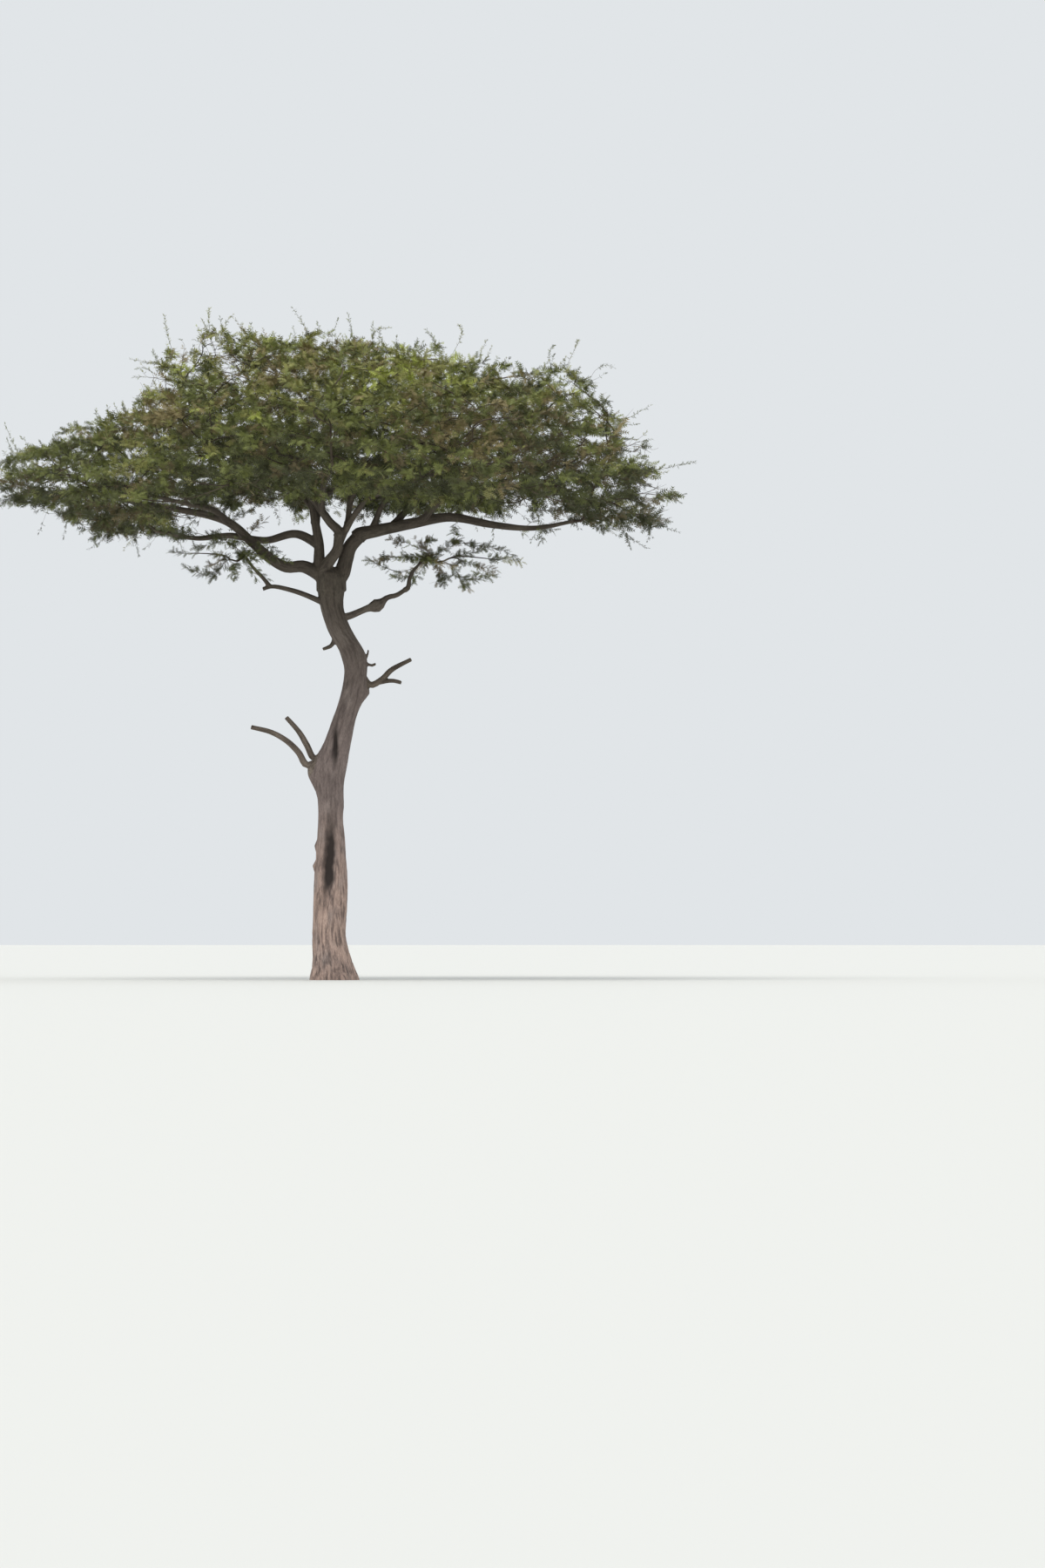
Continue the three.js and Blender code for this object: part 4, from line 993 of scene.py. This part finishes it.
def whips_from(name):
    """Thin shoots that grow on from some of a mass's ends, near the crown's top, rim and underside."""
    ways = grown[name][-1]
    ends = np.array([way[-1] for way in ways])
    ahead = unit(np.array([way[-1] - way[-2] for way in ways]))
    top, foot = crown_at(ends[:, 0], ends[:, 1])
    reach = reach_of(ends)
    outward = unit((ends - (CROWN_SHIFT, 0, 0)) * (1, 1, 0))
    lot = rng.random(len(ends))
    high = (top - ends[:, 2] < WHIP["top"]) & (lot < 0.5)
    low = (ends[:, 2] - foot < WHIP["foot"]) & (reach > WHIP["foot_reach"]) & (lot > 0.7)
    rim = (reach > WHIP["rim"]) & (lot > 0.5)
    if name in LOW_MASSES:
        high, low, rim = lot < 0, lot > 0.5, lot < 0
    high_lift, low_lift, rim_lift = WHIP["lifts"]
    lift = np.where(high, high_lift, np.where(low, low_lift, rim_lift))
    heading = WHIP["ahead"] * ahead + WHIP["outward"] * outward * reach[:, None] + lift[:, None] * UP
    heading = unit(heading + WHIP["stray"] * rng.normal(size=ends.shape))
    length = rng.uniform(*WHIP["length"], len(ends)) * np.where(low, WHIP["low_longer"], 1)
    made = []
    for i in np.flatnonzero(high | low | rim):
        tip = ends[i] + length[i] * heading[i]
        if (tip > LEAST).all() and (tip < MOST).all():
            made.append(bent_way(ends[i], ahead[i], tip, 0, WHIP["rings"])[0])
    return made


def sprigs_on(name):
    """Short leafy shoots along the bare part of a mass's bough, to all sides and more of them upward."""
    if name in LOW_MASSES:
        return []
    path = limbs[masses[name]["on"]]["path"]
    shares = np.arange(SPRIG["start"], 1, SPRIG["gap"] / path.length)
    made = []
    for start, ahead in zip(path.at(shares), path.heading(shares)):
        heading = SPRIG["ahead"] * ahead + rng.normal(size=3) * SPRIG["stray"] + SPRIG["lift"] * UP
        tip = start + rng.uniform(*SPRIG["length"]) * heading / norm(heading)
        made.append(bent_way(start, ahead, tip, 0, SPRIG["rings"])[0])
    return made


def tall_whips(ways):
    """The tall shoots, each from the nearest end in the middle of the crown's depth."""
    ends = np.array([way[-1] for way in ways])
    made = []
    for x, z in TALL_WHIPS:
        start = ends[np.argmin(norm((ends - (x, 0, z)) * (1, 0.3, 1), axis=1))]
        toward = np.array([x, start[1], z]) - start
        heading = toward / norm(toward) + TALL_WHIP_LIFT * UP + TALL_WHIP_STRAY * rng.normal(size=3)
        made.append(bent_way(start, heading, start + toward, 0, WHIP["rings"])[0])
    return made


def clear_leaves(roots):
    """Which leaves stay out of the limbs and the openings, and not too many of those in the crown's core."""
    lot = rng.random(len(roots))
    top, foot = crown_at(roots[:, 0], roots[:, 1])
    core = (top - roots[:, 2] > CORE["under"]) & (roots[:, 2] - foot > CORE["over"])
    core &= reach_of(roots) < CORE["reach"]
    keep = (roots > LEAST - (0, 0, 1)).all(axis=1) & (roots < MOST).all(axis=1)
    keep &= ~core | (lot < CORE["keep"])
    for x, z, wide, tall in OPENINGS:
        apart = ((roots[:, 0] - x) / wide) ** 2 + ((roots[:, 2] - z) / tall) ** 2
        keep &= apart > 1 - OPENING_EDGE * lot
    near = limb_samples[nearest_sample(roots, limb_samples)]
    return keep & (norm(roots - near[:, :3], axis=1) > near[:, RADIUS] + CLEAR_OF_BARK)


# The leaves' tints: five greens from dark to bright, which carry painted shade and painted light besides the
# leaves' own tone, and three others by their place in this list.
TINTS = {
    "leaf_shade": (73, 76, 49), "leaf_deep": (96, 101, 61), "leaf_green": (121, 127, 72),
    "leaf_olive": (143, 143, 84), "leaf_bright": (165, 173, 86), "leaf_brown": (136, 124, 86),
    "leaf_dry": (106, 96, 69), "leaf_pale": (151, 149, 98),
}
BROWN, DRY, PALE = 5, 6, 7
TINT_STEPS = (0.2, 0.42, 0.66, 0.92)  # where one green gives way to the next
PALE_SHARE, BROWN_SHARE, DEEPER_SHARE = 0.012, 0.1, 0.2
# Brown patches: sideways place, height, and how wide and tall they are.
BROWN_PATCHES = [
    (2.4, 8.0, 1.0, 0.5), (4.3, 7.8, 0.5, 0.3), (-2.6, 8.2, 0.5, 0.25), (-3.2, 6.9, 0.4, 0.15),
    (-1.0, 9.0, 0.4, 0.3)]


def brown_share(roots):
    """How likely sprays are brown: 1 in the middle of a brown patch."""
    shares = [np.exp(-(((roots[:, 0] - x) / wide) ** 2) - ((roots[:, 2] - z) / tall) ** 2)
        for x, z, wide, tall in BROWN_PATCHES]
    return np.max(shares, axis=0)


def spray_tints(roots):
    """The tint of each spray: brighter towards the crown's top as painted light, deeper at its sides as
    painted shade, brown in patches.
    """
    top, foot = crown_at(roots[:, 0], roots[:, 1])
    height = np.clip((roots[:, 2] - foot) / (top - foot + 0.01), 0, 1)
    side = np.clip((np.abs(roots[:, 0] - CROWN_SHIFT) - 1.8) / 2.2, 0, 1)
    lot, brown_lot, pale_lot = rng.random((3, len(roots)))
    clumps = 0.7 * noise_at(roots, (0.9, 0.9, 1.6)) + 0.8 * noise_at(roots + 4, (2.2, 2.2, 4.5))
    # painted light towards the crown's top and painted shade at its sides, with random clumps of tone
    light = clumps + 0.5 * height + 0.4 * lot - 0.2 * side + 0.03
    tint = np.digitize(light, TINT_STEPS)
    brown = brown_lot < BROWN_SHARE + 0.6 * brown_share(roots)
    # brown sprays in the painted shade take the darker dry brown
    tint = np.where(brown, np.where(light < TINT_STEPS[1], DRY, BROWN), tint)
    return np.where(pale_lot < PALE_SHARE, PALE, tint)


def ways_of(names, index):
    """The ways of one kind of twig in some masses: its stem, the levels, the whips or the sprigs."""
    return [way for name in names for way in (*grown[name], whips[name], sprigs[name])[index]]


grown = {name: grow_mass(name) for name in masses}
# Pieces of the crown, and the masses that each of them takes in.
REGIONS = {
    "leaves_right": ["right", "right_back", "right_front"],
    "leaves_left": ["left", "left_back", "left_front"],
    "leaves_back": ["back", "back_right", "back_left"],
    "leaves_front": ["front", "front_right", "front_left"],
    "leaves_inner_left": ["inner_left", "inner_back_left", "inner_front_left"],
    "leaves_inner_right": ["inner_right", "inner_back_right", "inner_front_right"],
    "leaves_middle": ["middle"],
    "leaves_low": ["low_left", "low_right"],
}
tint_materials = [plain_material(name, colour, 0.6) for name, colour in TINTS.items()]
leaf = leaf_faces()
limb_samples = axis_samples()
whips = {name: whips_from(name) for name in masses}
sprigs = {name: sprigs_on(name) for name in masses}
whips["middle"] += tall_whips([way for name in masses if name not in LOW_MASSES for way in grown[name][3]])
for region, names in REGIONS.items():
    full = LOW_LEAVES if region == "leaves_low" else FULL_LEAVES
    parts = []
    for index, kind in enumerate((*LEVELS, WHIP, SPRIG), 1):
        ways = ways_of(names, index)
        if ways:
            *leaves, owner = leaves_on(ways, kind["leafy"], **(WHIP_LEAVES if kind is WHIP else full))
            parts.append((*leaves, spray_tints(np.array([way[-1] for way in ways]))[owner]))
    roots, headings, facing, lengths, tint = (np.concatenate(rows) for rows in zip(*parts))
    deeper = (rng.random(len(tint)) < DEEPER_SHARE) & (tint < BROWN)
    tint = np.where(deeper, np.maximum(tint - 1, 0), tint)
    across = np.cross(facing, headings)
    axes = np.stack([headings, across, facing], axis=1) * lengths[:, None, None]
    points = roots[:, None] + leaf.reshape(-1, 3) @ axes
    points = points.reshape(-1, 3)
    faces = np.arange(len(points)).reshape(-1, 3)
    piece = mesh_object(region, points, faces, tint_materials, np.repeat(tint, len(leaf)))
    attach(piece, "root")
    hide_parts(*(f"foliage_{name}" for name in names))

TWIG_TINTS = {"twig_dark": (68, 59, 51), "twig_brown": (80, 71, 61), "twig_pale": (98, 88, 75)}
twig_materials = [plain_material(name, colour, 0.85) for name, colour in TWIG_TINTS.items()]
points, faces, tints, start = [], [], [], 0
for index, kind in enumerate((STEM, *LEVELS, WHIP, SPRIG)):
    ways = ways_of(grown, index)
    part, made = twig_arrays(ways, kind["radii"], kind["sides"])
    points.append(part)
    faces.append(made + start)
    tints.append(np.repeat(rng.integers(len(TWIG_TINTS), size=len(ways)), len(made) // len(ways)))
    start += len(part)
twigs = mesh_object("twigs", np.vstack(points), np.vstack(faces), twig_materials, np.concatenate(tints))
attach(twigs, "root")

# Floor, light and camera
PIXELS_PER_METRE = 77
PHOTO_WIDTH, PHOTO_HEIGHT = 1200, 1800
TRUNK_PIXEL = (381.5, 1125)
CAMERA_HEIGHT = 0.9
LENS, SENSOR = 200, 36
distance = LENS / SENSOR * PHOTO_HEIGHT / PIXELS_PER_METRE
aim = Vector((PHOTO_WIDTH / 2 - TRUNK_PIXEL[0], 0, TRUNK_PIXEL[1] - PHOTO_HEIGHT / 2)) / PIXELS_PER_METRE
camera_data = bpy.data.cameras.new("camera")
camera_data.lens = LENS
camera_data.sensor_width = SENSOR
camera_data.clip_end = 1000
camera = placed("camera", camera_data)
camera.location = (aim.x, -distance, CAMERA_HEIGHT)
camera.rotation_mode = "QUATERNION"
camera.rotation_quaternion = (aim - camera.location).to_track_quat("-Z", "Y")
bpy.context.scene.camera = camera

bm = bmesh.new()
bmesh.ops.create_circle(bm, cap_ends=True, segments=96, radius=180)
floor = placed("floor", mesh_of(bm, "floor"))
floor.data.materials.append(plain_material("floor", (222, 222, 218), 0.9))

world = bpy.data.worlds.new("overcast")
bpy.context.scene.world = world
world.use_nodes = True
background = world.node_tree.nodes["Background"]
background.inputs["Color"].default_value = srgb(225, 229, 232)
background.inputs["Strength"].default_value = 1.0


def sun(name, energy, colour, softness, direction):
    light = bpy.data.lights.new(name, "SUN")
    light.energy = energy
    light.color = colour
    light.angle = math.radians(softness)
    made = placed(name, light)
    made.rotation_mode = "QUATERNION"
    made.rotation_quaternion = Vector(direction).to_track_quat("-Z", "Y")


sun("high_light", 1.6, (1.0, 0.98, 0.94), 40, (0.25, 0.5, -1))
bpy.context.scene.view_settings.view_transform = "Standard"
